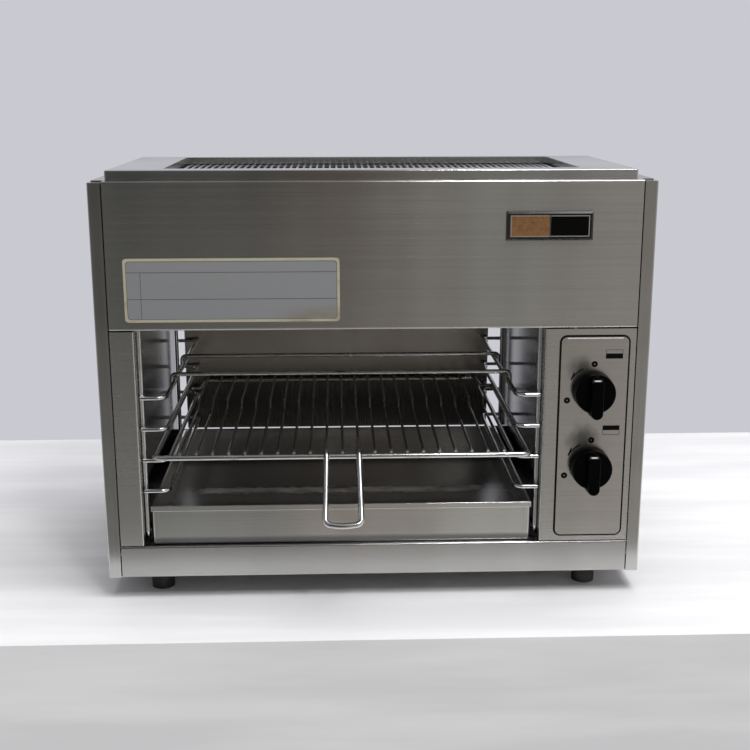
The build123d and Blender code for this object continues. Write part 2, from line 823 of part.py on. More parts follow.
def gas_manifold():
    """Square bar behind both cocks and the supply pipe to the rear inlet."""
    half = manifold_side / 2
    top = knob_upper_z + manifold_top_margin
    bar = block(knob_x - half, knob_x + half, manifold_y - half, manifold_y + half, supply_level - half, top)
    inner = plug_port
    bar -= rod_along("z", inner, top - supply_level - half, knob_x, manifold_y, supply_level)
    for level in knob_levels.values():
        bar -= rod_along("y", inner, half + overcut, knob_x, manifold_y - half - overcut, level)
    run = body_depth - 2 * sheet - fit_gap - manifold_y - half
    pipe = rod_along("y", supply_diameter, run, knob_x, manifold_y + half, supply_level)
    bar += pipe
    return bar - rod_along("y", supply_diameter / 2, run + half, knob_x, manifold_y, supply_level)


def gas_inlet():
    """Threaded spigot that leaves the back, with its hexagon against the rear sheet."""
    face = body_depth + touch_gap
    collar = extrude(Plane.XZ * RegularPolygon(inlet_hex / 2, 6, major_radius=False),
                     -(inlet_reach - inlet_length - touch_gap))
    collar = Pos(knob_x, face, supply_level) * collar
    start = body_depth + inlet_reach - inlet_length
    spigot = rod_along("y", 2 * inlet_radius, inlet_length, knob_x, start, supply_level)
    tail_start = body_depth - 2 * sheet - touch_gap
    tail = rod_along("y", supply_diameter, face - tail_start, knob_x, tail_start, supply_level)
    bore_start = body_depth - inlet_reach
    bore = rod_along("y", supply_diameter / 2, 4 * inlet_reach, knob_x, bore_start, supply_level)
    return collar + spigot + tail - bore


def outlet_pipe(name):
    """Bent pipe from a cock's outlet to its burner's nozzle."""
    start = burner_starts[name]
    level = knob_levels[name]
    mid_y = plug_front_y + plug_length / 2
    target_y = start + burner_width / 2
    reach = cock_outer / 2 + outlet_reach + touch_gap
    end_x = tube_end_x + nozzle_gap + nozzle_length + touch_gap
    riser_x = end_x + pipe_bend - touch_gap
    if name == "front":
        turn_z = level + reach + 2 * pipe_bend
        points = [(knob_x, mid_y, level + reach), (knob_x, mid_y, turn_z), (riser_x, target_y, turn_z),
                  (riser_x, target_y, burner_axis_z), (end_x, target_y, burner_axis_z)]
    else:
        points = [(knob_x + reach, mid_y, level), (riser_x, mid_y, level), (riser_x, target_y, level),
                  (riser_x, target_y, burner_axis_z), (end_x, target_y, burner_axis_z)]
    return wire(points, pipe_bend - 2 * touch_gap, pipe_diameter)


def igniter_place(name):
    """Front end of a spark unit, on the cavity side of its cock."""
    x = knob_x - cock_outer / 2 - igniter_diameter / 2 - touch_gap
    return x, cock_front_y, knob_levels[name]


def igniter(name):
    """Push-button spark unit that the cock's spindle trips."""
    x, y, z = igniter_place(name)
    body = rod_along("y", igniter_diameter, igniter_length, x, y, z)
    post_outer = lead_diameter + 2 * lead_post_wall
    post = rod_along("y", post_outer, lead_post_length, x, y + igniter_length, z)
    return body + post


def electrode(start):
    """Ceramic spark electrode through the partition, with its wire tip under the plaques."""
    y = start + burner_width / 2 + electrode_offset()
    z = electrode_level()
    x1 = cavity_right + electrode_length / 2
    ceramic = rod_along("x", electrode_diameter, electrode_length, x1 - electrode_length, y, z)
    collar_outer = electrode_diameter + 2 * electrode_collar
    collar = rod_along("x", collar_outer, sheet, cavity_right + sheet + touch_gap, y, z)
    tip = rod_along("x", electrode_tip, electrode_length, x1 - 2 * electrode_length, y, z)
    return ceramic + collar + tip


def igniter_lead(name):
    """Insulated lead from a spark unit to its electrode, held at both ends."""
    x, y, z = igniter_place(name)
    y += igniter_length + lead_post_length + touch_gap
    start = burner_starts[name]
    end_y = start + burner_width / 2 + electrode_offset()
    end_z = electrode_level()
    end_x = cavity_right + electrode_length / 2 + touch_gap
    turn_y = y + 1.5 * lead_reach
    reach_x = end_x + 1.5 * lead_reach
    points = [(x, y, z), (x, turn_y, z), (reach_x, turn_y + 2 * lead_reach, z + 2 * lead_reach)]
    points += [(reach_x, end_y, end_z), (end_x, end_y, end_z)]
    return wire(points, lead_bend, lead_diameter)


def guide_legs(side):
    """Front and rear legs of one rack guide, with their lower ends turned to the rear."""
    x = guide_leg_x(side)
    legs = []
    for y in (guide_front_y, guide_rear_y):
        reach = guide_foot_reach if y == guide_front_y else -guide_foot_reach
        points = [(x, y, guide_top_level), (x, y, guide_foot_level), (x, y + reach, guide_foot_level)]
        legs.append(wire(points, guide_foot_bend, guide_wire))
    return legs


def guide_leg_x(side):
    """Place of a guide's legs across the cavity."""
    return cavity_left + guide_leg_inset_left if side < 0 else cavity_right - guide_leg_inset_right


def guide_rail_x(side):
    """Place of a guide's rails across the cavity."""
    return cavity_left + guide_rail_left if side < 0 else cavity_right - guide_rail_right


def guide_rungs(side):
    """Rails of one guide, each a wire lapped on the front leg, bent back and lapped on the rear leg."""
    rail_x = guide_rail_x(side)
    end_x = guide_leg_x(side) + side * guide_lap_end
    front = guide_front_y - guide_lap
    rear = guide_rear_y + guide_lap
    rungs = []
    for level in rung_levels:
        points = [(end_x, front, level), (rail_x, front, level), (rail_x, rear, level), (end_x, rear, level)]
        rungs.append(wire(points, guide_corner, guide_wire))
    return rungs


def cross_wires():
    """Two wires across the cavity on the top rails, hooked down over their outer sides."""
    low = rung_levels[0] - cross_wire_hook
    high = rung_levels[0] + guide_lap
    left = guide_rail_x(-1) - guide_lap
    right = guide_rail_x(1) + guide_lap
    wires = []
    for y in (cross_wire_front_y, cross_wire_rear_y):
        points = [(left, y, low), (left, y, high), (right, y, high), (right, y, low)]
        wires.append(wire(points, guide_lap, guide_wire))
    return wires


def guide_clips():
    """Blocks on the cavity walls that hold the tops of the guide legs."""
    clips = []
    z1 = guide_top_level + guide_wire / 2
    z0 = z1 - clip_height
    for side in (-1, 1):
        x = guide_leg_x(side)
        wall = cavity_left if side < 0 else cavity_right
        x0, x1 = sorted((wall, x - side * clip_side / 2))
        for y in (guide_front_y + clip_side / 4, guide_rear_y):
            clip = block(x0, x1, y - clip_side / 2, y + clip_side / 2, z0, z1)
            hole_y = guide_front_y if y < body_depth / 2 else guide_rear_y
            clips.append(clip - Pos(x, hole_y, z0) * Cylinder(guide_wire / 2 + touch_gap, 3 * clip_height))
    return clips


def rack_edges():
    """Left and right outer edges of the rack."""
    reach = guide_wire / 2
    return guide_leg_x(-1) + reach + rack_side_gap_left, guide_leg_x(1) - reach - rack_side_gap_right


def rack_frame():
    """Thick wire all round, its rear raised between the rails as a stop and butt welded there."""
    half = rack_wire / 2
    left, right = (edge - side * half for edge, side in zip(rack_edges(), (-1, 1)))
    front = rack_front_y + half
    rear = rack_rear_y - half
    high = rack_level + rack_rise
    joint = touch_gap / 2
    middle = (left + right) / 2
    points = [(middle + joint, rear, high), (right - rack_low_end - rack_rise_run, rear, high),
              (right - rack_low_end, rear, rack_level), (right, rear, rack_level),
              (right, front, rack_level), (left, front, rack_level), (left, rear, rack_level),
              (left + rack_low_end, rear, rack_level),
              (left + rack_low_end + rack_rise_run, rear, high), (middle - joint, rear, high)]
    corner = rack_corner - half
    bends = [rack_rise_bend] * 2 + [corner] * 4 + [rack_rise_bend] * 2
    return wire(points, bends, rack_wire)


def rod_places():
    """Places of the rack's rods across the cavity."""
    x0, x1 = rack_edges()
    count = math.floor((x1 - x0 - 2 * rod_side_margin) / rod_pitch) + 1
    start = (x0 + x1 - (count - 1) * rod_pitch) / 2
    return [start + i * rod_pitch for i in range(count)]


def rack_rods():
    """Thin rods along the rack that step up towards the raised rear wire."""
    rods = []
    high = rod_level + rack_rise
    for x in rod_places():
        beside_handle = abs(abs(x - handle_x()) - handle_half_width) < (rod_wire + handle_wire) / 2
        front = handle_start_y + fit_gap if beside_handle else rack_front_y + rod_end_inset
        points = [(x, front, rod_level), (x, rod_step_y, rod_level),
                  (x, rod_step_y + rod_step_run, high), (x, rack_rear_y - rod_end_inset, high)]
        rods.append(wire(points, rack_rise_bend, rod_wire))
    return rods


def handle_x():
    """Middle of the handle across the rack."""
    return sum(rack_edges()) / 2


def rack_handle():
    """Wire loop that lies on the rack's front and slopes down to a bowed tip."""
    middle = handle_x()
    run = math.hypot(handle_knee_y - handle_tip_y, handle_level - handle_tip_z)
    ahead_y = (handle_tip_y - handle_knee_y) / run
    ahead_z = (handle_tip_z - handle_level) / run
    turn = math.atan(handle_bow / handle_tip_half_width)
    past = handle_bow_radius * (1 / math.cos(turn) - 1)
    back = handle_bow - past
    points = []
    for side in (-1, 1):
        top_x = middle + side * handle_half_width
        tip_x = middle + side * handle_tip_half_width
        prong = [(top_x, handle_start_y, handle_level), (top_x, handle_knee_y, handle_level),
                 (tip_x, handle_tip_y - back * ahead_y, handle_tip_z - back * ahead_z)]
        apex = [(middle, handle_tip_y + past * ahead_y, handle_tip_z + past * ahead_z)]
        points += prong + apex if side < 0 else prong[::-1]
    bends = [handle_bend, handle_tip_bend, handle_bow_radius, handle_tip_bend, handle_bend]
    return wire(points, bends, handle_wire)


def drip_tray():
    """Folded tray with a flat hem round its top and lapped front corners."""
    z0 = floor_level + fit_gap
    top = z0 + tray_height
    x0, x1 = tray_left + tray_hem, tray_right - tray_hem
    y0, y1 = tray_front_y + tray_hem, tray_rear_y - tray_hem
    body = block(x0, x1, y0, y1, z0, top)
    body = fillet(body.edges().filter_by(Axis.Z) + body.edges().group_by(Axis.Z)[0], tray_corner)
    hem = block(tray_left, tray_right, tray_front_y, tray_rear_y, top - tray_hem_height, top)
    hem = fillet(hem.edges(), tray_hem_edge)
    for side, x in ((1, x0), (-1, x1)):
        a, b = sorted((x + side * tray_corner, x + side * (tray_corner + tray_flap)))
        body += block(a, b, y0 - tray_flap_proud, y0, z0 + tray_corner, top - tray_hem_height)
    t = tray_wall
    inner = block(x0 + t, x1 - t, y0 + t, y1 - t, z0 + t, top + t)
    return body + hem - inner


def feet():
    """Round rubber feet with a recess for the screw head."""
    solids = []
    for x, y in foot_places():
        foot = extrude(Circle(foot_diameter / 2), -foot_height, taper=foot_taper)
        hole = foot_screw / 2 + touch_gap
        foot -= Pos(0, 0, -foot_height / 2) * Cylinder(hole, 2 * foot_height)
        foot -= Pos(0, 0, -foot_height) * extrude(Circle(foot_screw_head / 2 + fit_gap), foot_recess)
        solids.append(Pos(x, y, 0) * foot)
    return solids


def foot_screws():
    """Screws through the feet into the base, each with its nut."""
    solids = []
    for x, y in foot_places():
        head_top = -foot_height + foot_recess
        head = extrude(Circle(foot_screw_head / 2), -foot_screw_head_height)
        nut_bottom = sheet + touch_gap
        shank = extrude(Circle(foot_screw / 2), foot_height - foot_recess + nut_bottom + foot_nut_height)
        nut = extrude(RegularPolygon(foot_nut / 2, 6, major_radius=False), foot_nut_height)
        screw = Pos(0, 0, head_top) * (head + shank) + Pos(0, 0, nut_bottom) * nut
        solids.append(Pos(x, y, -touch_gap) * screw)
    return solids


def body_screw_places():
    """Centres of the screws through the rear frame into the cavity walls' flanges."""
    reach = (sheet + inner_flange) / 2
    xs = (cavity_left - reach, cavity_right + reach)
    zs = [side_top * (i + 0.5) / body_screw_rows for i in range(1, body_screw_rows)]
    return [(x, z) for x in xs for z in zs]


def body_screws():
    """Pan-head screws that hold the rear frame on the cavity walls."""
    solids = []
    for x, z in body_screw_places():
        head = rod_along("y", body_screw_head, body_screw_head_height, x, body_depth + touch_gap, z)
        head = fillet(head.edges().sort_by(Axis.Y)[-1], body_screw_edge)
        shank = rod_along("y", body_screw, body_screw_reach, x, body_depth + touch_gap - body_screw_reach, z)
        solids.append(head + shank)
    return solids


def body_screw_holes():
    """Clearance holes for the screws in the rear frame and the flanges."""
    hole = body_screw + 2 * touch_gap
    start = body_depth - 2 * body_screw_reach
    return [rod_along("y", hole, 3 * body_screw_reach, x, start, z) for x, z in body_screw_places()]


def main():
    """Builds every node."""
    os.makedirs("parts", exist_ok=True)
    screw_holes = body_screw_holes()
    write_node("side_panel_left", side_panel(-1))
    write_node("side_panel_right", side_panel(1))
    write_node("front_fascia", front_fascia())
    write_node("front_post_left", front_post())
    write_node("control_panel", control_panel())
    write_node("control_plate", control_plate())
    write_node("badge_frame", badge_frame())
    write_node("badge_plates", *badge_plates())
    write_node("notice_plate", notice_plate())
    write_node("base_pan", base_pan())
    write_node("floor_plate", floor_plate())
    write_node("inner_side_left", inner_side_left() - screw_holes)
    write_node("partition", partition() - screw_holes)
    write_node("rear_frame", rear_frame() - screw_holes)
    write_node("back_reflector", back_reflector())
    write_node("roof_deck", roof_deck())
    write_node("top_cover", top_cover())
    write_node("top_grille", top_grille())
    write_node("flue_baffle", flue_baffle())
    write_node("burner_brackets", *burner_brackets())
    for name, start in burner_starts.items():
        write_node(f"burner_box_{name}", burner_box(start))
        write_node(f"ceramic_plaques_{name}", *ceramic_plaques(start))
        write_node(f"mixing_tube_{name}", mixing_tube(start))
        write_node(f"air_shutter_{name}", air_shutter(start))
        write_node(f"gas_cock_{name}", gas_cock(name))
        write_node(f"cock_plug_{name}", cock_plug(name))
        write_node(f"spindle_{name}", spindle(name))
        write_node(f"return_spring_{name}", return_spring(name))
        write_node(f"knob_{name}", knob(name))
        write_node(f"outlet_pipe_{name}", outlet_pipe(name))
        write_node(f"igniter_{name}", igniter(name))
    write_node("gas_nozzles", *[gas_nozzle(start) for start in burner_starts.values()])
    write_node("electrodes", *[electrode(start) for start in burner_starts.values()])
    write_node("igniter_leads", *[igniter_lead(name) for name in knob_levels])
    write_node("gas_manifold", gas_manifold())
    write_node("gas_inlet", gas_inlet())
    for name, side in (("left", -1), ("right", 1)):
        write_node(f"rack_guide_{name}", *guide_legs(side), *guide_rungs(side))
    write_node("guide_clips", *guide_clips())
    write_node("cross_wires", *cross_wires())
    write_node("rack_frame", rack_frame())
    write_node("rack_rods", *rack_rods())
    write_node("rack_handle", rack_handle())
    write_node("drip_tray", drip_tray())
    write_node("feet", *feet())
    write_node("foot_screws", *foot_screws())
    write_node("body_screws", *body_screws())


main()
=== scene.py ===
"""Looks of a compact overhead gas grill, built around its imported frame.

Every length is in metres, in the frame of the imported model, unless its class says millimetres. Places on the
front are in millimetres from the body's middle, its side panels' lower edge and the front face, see Front.
"""

import logging
import math
from dataclasses import dataclass, field
from enum import Enum
from typing import Any, Iterable, NamedTuple, Sequence

import bpy
from mathutils import Matrix, Vector


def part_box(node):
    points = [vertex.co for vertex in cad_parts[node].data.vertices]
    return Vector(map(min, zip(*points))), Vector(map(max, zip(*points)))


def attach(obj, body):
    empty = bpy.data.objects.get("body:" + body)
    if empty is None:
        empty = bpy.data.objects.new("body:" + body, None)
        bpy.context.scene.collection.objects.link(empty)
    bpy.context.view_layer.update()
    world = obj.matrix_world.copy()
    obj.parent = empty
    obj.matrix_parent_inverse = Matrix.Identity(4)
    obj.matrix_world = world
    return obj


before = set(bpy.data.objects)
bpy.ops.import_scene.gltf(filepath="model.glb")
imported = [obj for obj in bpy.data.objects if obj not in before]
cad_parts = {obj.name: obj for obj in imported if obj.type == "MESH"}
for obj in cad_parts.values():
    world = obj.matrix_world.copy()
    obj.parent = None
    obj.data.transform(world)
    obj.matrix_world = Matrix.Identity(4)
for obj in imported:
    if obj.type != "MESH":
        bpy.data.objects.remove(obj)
log = logging.getLogger("grill")

MM = 0.001
FULL_TURN = 360.0
NOISE_MEAN = 0.5
Point = Sequence[float]
Colour = tuple[float, float, float]
Pair = tuple[float, float]


class Amount:
    """A number that changes over a surface: one output socket, with Python's operators."""

    def __init__(self, recipe: "Recipe", socket: bpy.types.NodeSocket) -> None:
        """Wraps an output socket of a recipe."""
        self.recipe = recipe
        self.socket = socket

    def __add__(self, other: "Amount | float") -> "Amount":
        """Sum."""
        return self.recipe.math("ADD", self, other)

    def __radd__(self, other: float) -> "Amount":
        """Sum with a number in front."""
        return self.recipe.math("ADD", other, self)

    def __sub__(self, other: "Amount | float") -> "Amount":
        """Difference."""
        return self.recipe.math("SUBTRACT", self, other)

    def __rsub__(self, other: float) -> "Amount":
        """Difference with a number in front."""
        return self.recipe.math("SUBTRACT", other, self)

    def __mul__(self, other: "Amount | float") -> "Amount":
        """Product."""
        return self.recipe.math("MULTIPLY", self, other)

    def __truediv__(self, other: "Amount | float") -> "Amount":
        """Quotient."""
        return self.recipe.math("DIVIDE", self, other)

    def __abs__(self) -> "Amount":
        """Distance from zero."""
        return self.recipe.math("ABSOLUTE", self)

    def larger(self, other: "Amount | float") -> "Amount":
        """The larger of two amounts."""
        return self.recipe.math("MAXIMUM", self, other)

    def smaller(self, other: "Amount | float") -> "Amount":
        """The smaller of two amounts."""
        return self.recipe.math("MINIMUM", self, other)

    def root(self) -> "Amount":
        """Square root."""
        return self.recipe.math("SQRT", self)

    def swing(self, width: float) -> "Amount":
        """How far a noise is from its mean, times a width."""
        return (self - NOISE_MEAN) * width

    def within(self, low: float, high: float, soft: float) -> "Amount":
        """1 between two limits and 0 outside them, with soft edges."""
        return self.rise(low - soft, low + soft) * self.rise(high + soft, high - soft)

    def rise(self, low: float, high: float) -> "Amount":
        """Smooth step from 0 at low to 1 at high, or falling where low is the larger."""
        made = self.recipe.node("ShaderNodeMapRange", {"interpolation_type": "SMOOTHSTEP"},
                                {"Value": self, "From Min": low, "From Max": high})
        return Amount(self.recipe, made.outputs["Result"])


class Recipe:
    """The node tree of one finish, or of the light around the object."""

    def __init__(self, tree: bpy.types.NodeTree) -> None:
        """Empties the tree and finds the coordinates that the patterns lie in."""
        self.tree = tree
        tree.nodes.clear()
        self.places = self.node("ShaderNodeTexCoord").outputs

    def node(self, kind: str, settings: dict[str, Any] | None = None,
             inputs: dict[str | int, Any] | None = None) -> bpy.types.Node:
        """Adds one node.

        Args:
            kind: Blender's name of the node type.
            settings: The node's own options, set first. "stops" are a ramp's pairs of place and colour.
            inputs: A value, a socket or an Amount for each of the sockets named.

        Returns:
            The new node.
        """
        made = self.tree.nodes.new(kind)
        for name, value in (settings or {}).items():
            if name == "stops":
                ramp = made.color_ramp
                while len(ramp.elements) < len(value):
                    ramp.elements.new(1.0)
                for element, (place, colour) in zip(ramp.elements, value):
                    element.position = place
                    element.color = (*colour, 1.0)
            else:
                setattr(made, name, value)
        for name, value in (inputs or {}).items():
            socket = made.inputs[name]
            if isinstance(value, Amount):
                value = value.socket
            if isinstance(value, bpy.types.NodeSocket):
                self.tree.links.new(value, socket)
            elif socket.type == "RGBA":
                socket.default_value = (*value, 1.0)
            else:
                socket.default_value = value
        return made

    def math(self, operation: str, *values: "Amount | float") -> Amount:
        """One Math node on amounts or numbers."""
        made = self.node("ShaderNodeMath", {"operation": operation}, dict(enumerate(values)))
        return Amount(self, made.outputs[0])

    def axes(self, coordinates: str = "Object") -> tuple[Amount, Amount, Amount]:
        """The three coordinates of the point that is shaded."""
        parts = self.node("ShaderNodeSeparateXYZ", inputs={0: self.places[coordinates]}).outputs
        return Amount(self, parts[0]), Amount(self, parts[1]), Amount(self, parts[2])

    def noise(self, stretch: Point, detail: float = 2.0, offset: float = 0.0) -> Amount:
        """Soft noise around 0.5.

        Args:
            stretch: How many features there are to the metre along each axis.
            detail: Octaves of finer noise.
            offset: Moves the pattern, so that two finishes differ.

        Returns:
            The noise.
        """
        scaled = self.node("ShaderNodeVectorMath", {"operation": "MULTIPLY_ADD"},
                           {0: self.places["Object"], 1: stretch, 2: (offset, offset, offset)})
        made = self.node("ShaderNodeTexNoise", {"noise_dimensions": "3D"},
                         {"Vector": scaled.outputs[0], "Scale": 1.0, "Detail": detail})
        return Amount(self, made.outputs["Fac"])

    def blend(self, mask: "Amount | float", below: Any, above: Any) -> bpy.types.NodeSocket:
        """Colour below where the mask is 0, and above where it is 1."""
        made = self.node("ShaderNodeMix", {"data_type": "RGBA"}, {"Factor": mask, 6: below, 7: above})
        return made.outputs[2]

    def tint(self, colour: Any, amount: "Amount") -> bpy.types.NodeSocket:
        """Colour times an amount, the same in each channel."""
        grey = self.node("ShaderNodeCombineXYZ", inputs={0: amount, 1: amount, 2: amount})
        made = self.node("ShaderNodeMix", {"data_type": "RGBA", "blend_type": "MULTIPLY"},
                         {"Factor": 1.0, 6: colour, 7: grey.outputs[0]})
        return made.outputs[2]

    def bump(self, height: Amount, depth: float, strength: float = 1.0) -> bpy.types.NodeSocket:
        """Normal of a surface with fine relief of that depth."""
        made = self.node("ShaderNodeBump", inputs={"Strength": strength, "Distance": depth, "Height": height})
        return made.outputs["Normal"]

    def surface(self, **sockets: Any) -> None:
        """Closes a material with a Principled shader. Underscores stand for spaces in its sockets' names."""
        named = {name.replace("_", " "): value for name, value in sockets.items()}
        shader = self.node("ShaderNodeBsdfPrincipled", inputs=named)
        self.node("ShaderNodeOutputMaterial", inputs={"Surface": shader.outputs[0]})


def new_recipe(name: str) -> tuple[bpy.types.Material, Recipe]:
    """A new material and the recipe of its nodes."""
    material = bpy.data.materials.new(name)
    material.use_nodes = True
    return material, Recipe(material.node_tree)


class Mark(NamedTuple):
    """A place that differs from the plain sheet: how much rougher and how matt it is where the mask is 1."""

    mask: Amount
    colour: Colour
    rougher: float
    matt: float = 0.0


class Grain(Enum):
    """The way that the brush lines of a sheet run, as features to the metre along each axis."""

    LEVEL = (5.0, 820.0, 820.0)
    UPRIGHT = (820.0, 820.0, 5.0)
    NONE = (140.0, 140.0, 140.0)

    @property
    def bands(self) -> tuple[float, float, float]:
        """Features to the metre of the soft bands that lie across the lines."""
        return {"LEVEL": (22.0, 9.0, 2.5), "UPRIGHT": (2.5, 9.0, 22.0), "NONE": (14.0,) * 3}[self.name]


@dataclass(frozen=True)
class Steel:
    """Stainless sheet or plate, brushed or polished."""

    name: str
    colour: Colour = (0.60, 0.595, 0.585)
    stain: Colour = (0.44, 0.41, 0.37)
    roughness: float = 0.30
    spread: float = 0.10
    grain: Grain = Grain.LEVEL
    line_depth: float = 0.000012
    line_strength: float = 0.6
    lines: float = 0.16
    bands: float = 0.10
    dirt: float = 0.30
    dirt_rise: Pair = (0.52, 0.78)
    cloud_scale: float = 9.0
    stretch: float = 0.55
    level_turn: float = 0.25

    def marks(self, recipe: Recipe) -> list[Mark]:
        """Places that differ from the plain sheet."""
        return []

    def material(self) -> bpy.types.Material:
        """Brush lines, soft bands, a few stains and the sheet's own marks on metal."""
        material, recipe = new_recipe(self.name)
        fine = recipe.noise(self.grain.value, detail=3.0, offset=1.7)
        band = recipe.noise(self.grain.bands, detail=1.0, offset=4.2)
        cloud = recipe.noise((self.cloud_scale,) * 3, detail=4.0, offset=7.9)
        dirty = cloud.rise(*self.dirt_rise) * self.dirt
        tone = 1.0 + fine.swing(self.lines) + band.swing(2.0 * self.bands)
        shade: Any = recipe.blend(dirty, self.colour, self.stain)
        rough = self.roughness + cloud.swing(2.0 * self.spread) + fine.swing(self.spread)
        metal: Amount | float = 1.0
        for mark in self.marks(recipe):
            shade = recipe.blend(mark.mask, shade, mark.colour)
            rough = rough + mark.mask * mark.rougher
            metal = metal - mark.mask * mark.matt
        turned = self.level_turn if self.grain is Grain.LEVEL else 0.0
        recipe.surface(Base_Color=recipe.tint(shade, tone), Metallic=metal, Roughness=rough,
                       Anisotropic=self.stretch, Anisotropic_Rotation=turned,
                       Normal=recipe.bump(fine, self.line_depth, self.line_strength))
        return material


@dataclass(frozen=True)
class Wire:
    """Plated wire, bright with a few dull places."""

    name: str
    colour: Colour = (0.74, 0.74, 0.745)
    dull: Colour = (0.33, 0.31, 0.285)
    painted_highlight: Colour = (0.90, 0.90, 0.90)
    roughness: float = 0.13
    wear: float = 0.45
    wear_rise: Pair = (0.50, 0.72)
    worn_rougher: float = 0.35
    speck_tone: Pair = (0.94, 0.12)
    speck_rougher: float = 0.05
    relief: float = 0.00002

    def highlighted(self, recipe: Recipe) -> "Amount | float":
        """Where the wire carries a painted highlight."""
        return 0.0

    def material(self) -> bpy.types.Material:
        """Bright plating with dull, slightly brown places."""
        material, recipe = new_recipe(self.name)
        cloud = recipe.noise((55.0,) * 3, detail=4.0, offset=3.1)
        speck = recipe.noise((900.0,) * 3, detail=2.0, offset=0.4)
        wear_and_highlight = cloud.rise(*self.wear_rise) * self.wear
        # Where the mask is 1 the colour is a painted highlight.
        plated = recipe.blend(self.highlighted(recipe), recipe.blend(wear_and_highlight, self.colour, self.dull), self.painted_highlight)
        least, more = self.speck_tone
        recipe.surface(Base_Color=recipe.tint(plated, least + speck * more), Metallic=1.0,
                       Roughness=self.roughness + wear_and_highlight * self.worn_rougher + speck * self.speck_rougher,
                       Normal=recipe.bump(speck, self.relief, strength=0.5))
        return material


@dataclass(frozen=True)
class Moulded:
    """Moulded plastic, rubber, sleeve or paint."""

    name: str
    colour: Colour
    roughness: float = 0.35
    dust: float = 0.05
    dust_colour: Colour = (0.34, 0.33, 0.31)
    dust_rise: Pair = (0.48, 0.80)
    cloud_spread: float = 0.25
    skin_spread: float = 0.08
    relief: float = 0.00003
    coat: float = 0.0
    coat_roughness: float = 0.12
    specular: float = 0.5

    def material(self) -> bpy.types.Material:
        """Fine moulded texture with a little dust and finger wear."""
        material, recipe = new_recipe(self.name)
        skin = recipe.noise((600.0,) * 3, detail=2.0, offset=5.0)
        cloud = recipe.noise((60.0,) * 3, detail=4.0, offset=2.2)
        dusty = cloud.rise(*self.dust_rise) * self.dust
        rough = self.roughness + cloud.swing(self.cloud_spread) + skin.swing(self.skin_spread)
        recipe.surface(Base_Color=recipe.blend(dusty, self.colour, self.dust_colour), Metallic=0.0,
                       Roughness=rough, Specular_IOR_Level=self.specular, Coat_Weight=self.coat,
                       Coat_Roughness=self.coat_roughness,
                       Normal=recipe.bump(skin, self.relief, strength=0.5))
        return material


@dataclass(frozen=True)
class KnobPlastic:
    """Black moulded plastic: satin, and polished by fingers at the grip's upper end."""

    name: str
    colour: Colour = (0.0012, 0.0012, 0.0014)
    tone: Pair = (0.6, 0.8)
    roughness: float = 0.34
    spread: float = 0.2
    specular: float = 0.05
    bevel: float = 0.0050
    bevel_depth: float = 0.0040
    half_width: float = 0.0026
    upper_soft: float = 0.0005
    face_soft: float = 0.0003
    side_soft: float = 0.0012
    polish_roughness: float = 0.07
    polish_index: float = 2.2
    relief: float = 0.00001

    def material(self, node: str) -> bpy.types.Material:
        """Deep black with a fine skin, for one knob."""
        material, recipe = new_recipe(self.name)
        low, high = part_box(node)
        x, y, z = recipe.axes()
        middle = (low.x + high.x) / 2
        edge = high.z - self.bevel
        polished = (z.rise(edge - self.upper_soft, edge + self.upper_soft)
                    * y.within(low.y + self.face_soft, low.y + self.bevel_depth, self.face_soft)
                    * x.within(middle - self.half_width, middle + self.half_width, self.side_soft))
        skin = recipe.noise((700.0,) * 3, detail=2.0, offset=5.0)
        cloud = recipe.noise((60.0,) * 3, detail=4.0, offset=2.2)
        least, more = self.tone
        recipe.surface(Base_Color=recipe.tint(self.colour, least + cloud * more), Metallic=0.0,
                       Roughness=self.roughness + cloud.swing(self.spread),
                       Specular_IOR_Level=self.specular, Coat_Weight=polished,
                       Coat_Roughness=self.polish_roughness, Coat_IOR=self.polish_index,
                       Normal=recipe.bump(skin, self.relief, strength=0.4))
        return material


@dataclass(frozen=True)
class Cast:
    """Cast or turned metal: brass, alloy, aluminium."""

    name: str
    colour: Colour
    tarnish: Colour
    tarnish_rise: Pair = (0.45, 0.75)
    tarnished: float = 0.7
    roughness: float = 0.38
    spread: float = 0.3
    relief: float = 0.00006

    def material(self) -> bpy.types.Material:
        """Matt metal with tarnished places."""
        material, recipe = new_recipe(self.name)
        skin = recipe.noise((350.0,) * 3, detail=3.0, offset=6.0)
        cloud = recipe.noise((70.0,) * 3, detail=3.0, offset=2.8)
        dull = cloud.rise(*self.tarnish_rise) * self.tarnished
        recipe.surface(Base_Color=recipe.blend(dull, self.colour, self.tarnish), Metallic=1.0,
                       Roughness=self.roughness + skin.swing(self.spread),
                       Normal=recipe.bump(skin, self.relief, strength=0.6))
        return material


@dataclass(frozen=True)
class Plaque:
    """Burner ceramic with rows of flame holes, browned by use."""

    name: str
    colour: Colour = (0.80, 0.76, 0.68)
    burnt: Colour = (0.42, 0.34, 0.26)
    burnt_rise: Pair = (0.50, 0.85)
    hole: Colour = (0.035, 0.03, 0.025)
    hole_rise: Pair = (0.42, 0.62)
    hole_depth: float = 0.0006
    pitch: float = 0.0026
    roughness: float = 0.85

    def material(self) -> bpy.types.Material:
        """Round holes in rows on both level axes."""
        material, recipe = new_recipe(self.name)
        x, y, _ = recipe.axes()
        turn = 2.0 * math.pi / self.pitch
        rows = recipe.math("SINE", x * turn) * recipe.math("SINE", y * turn)
        open_hole = abs(rows).rise(*self.hole_rise)
        cloud = recipe.noise((26.0,) * 3, detail=4.0, offset=9.0)
        body = recipe.blend(cloud.rise(*self.burnt_rise), self.colour, self.burnt)
        recipe.surface(Base_Color=recipe.blend(open_hole, body, self.hole), Metallic=0.0,
                       Roughness=self.roughness,
                       Normal=recipe.bump(1.0 - open_hole, self.hole_depth, strength=0.8))
        return material


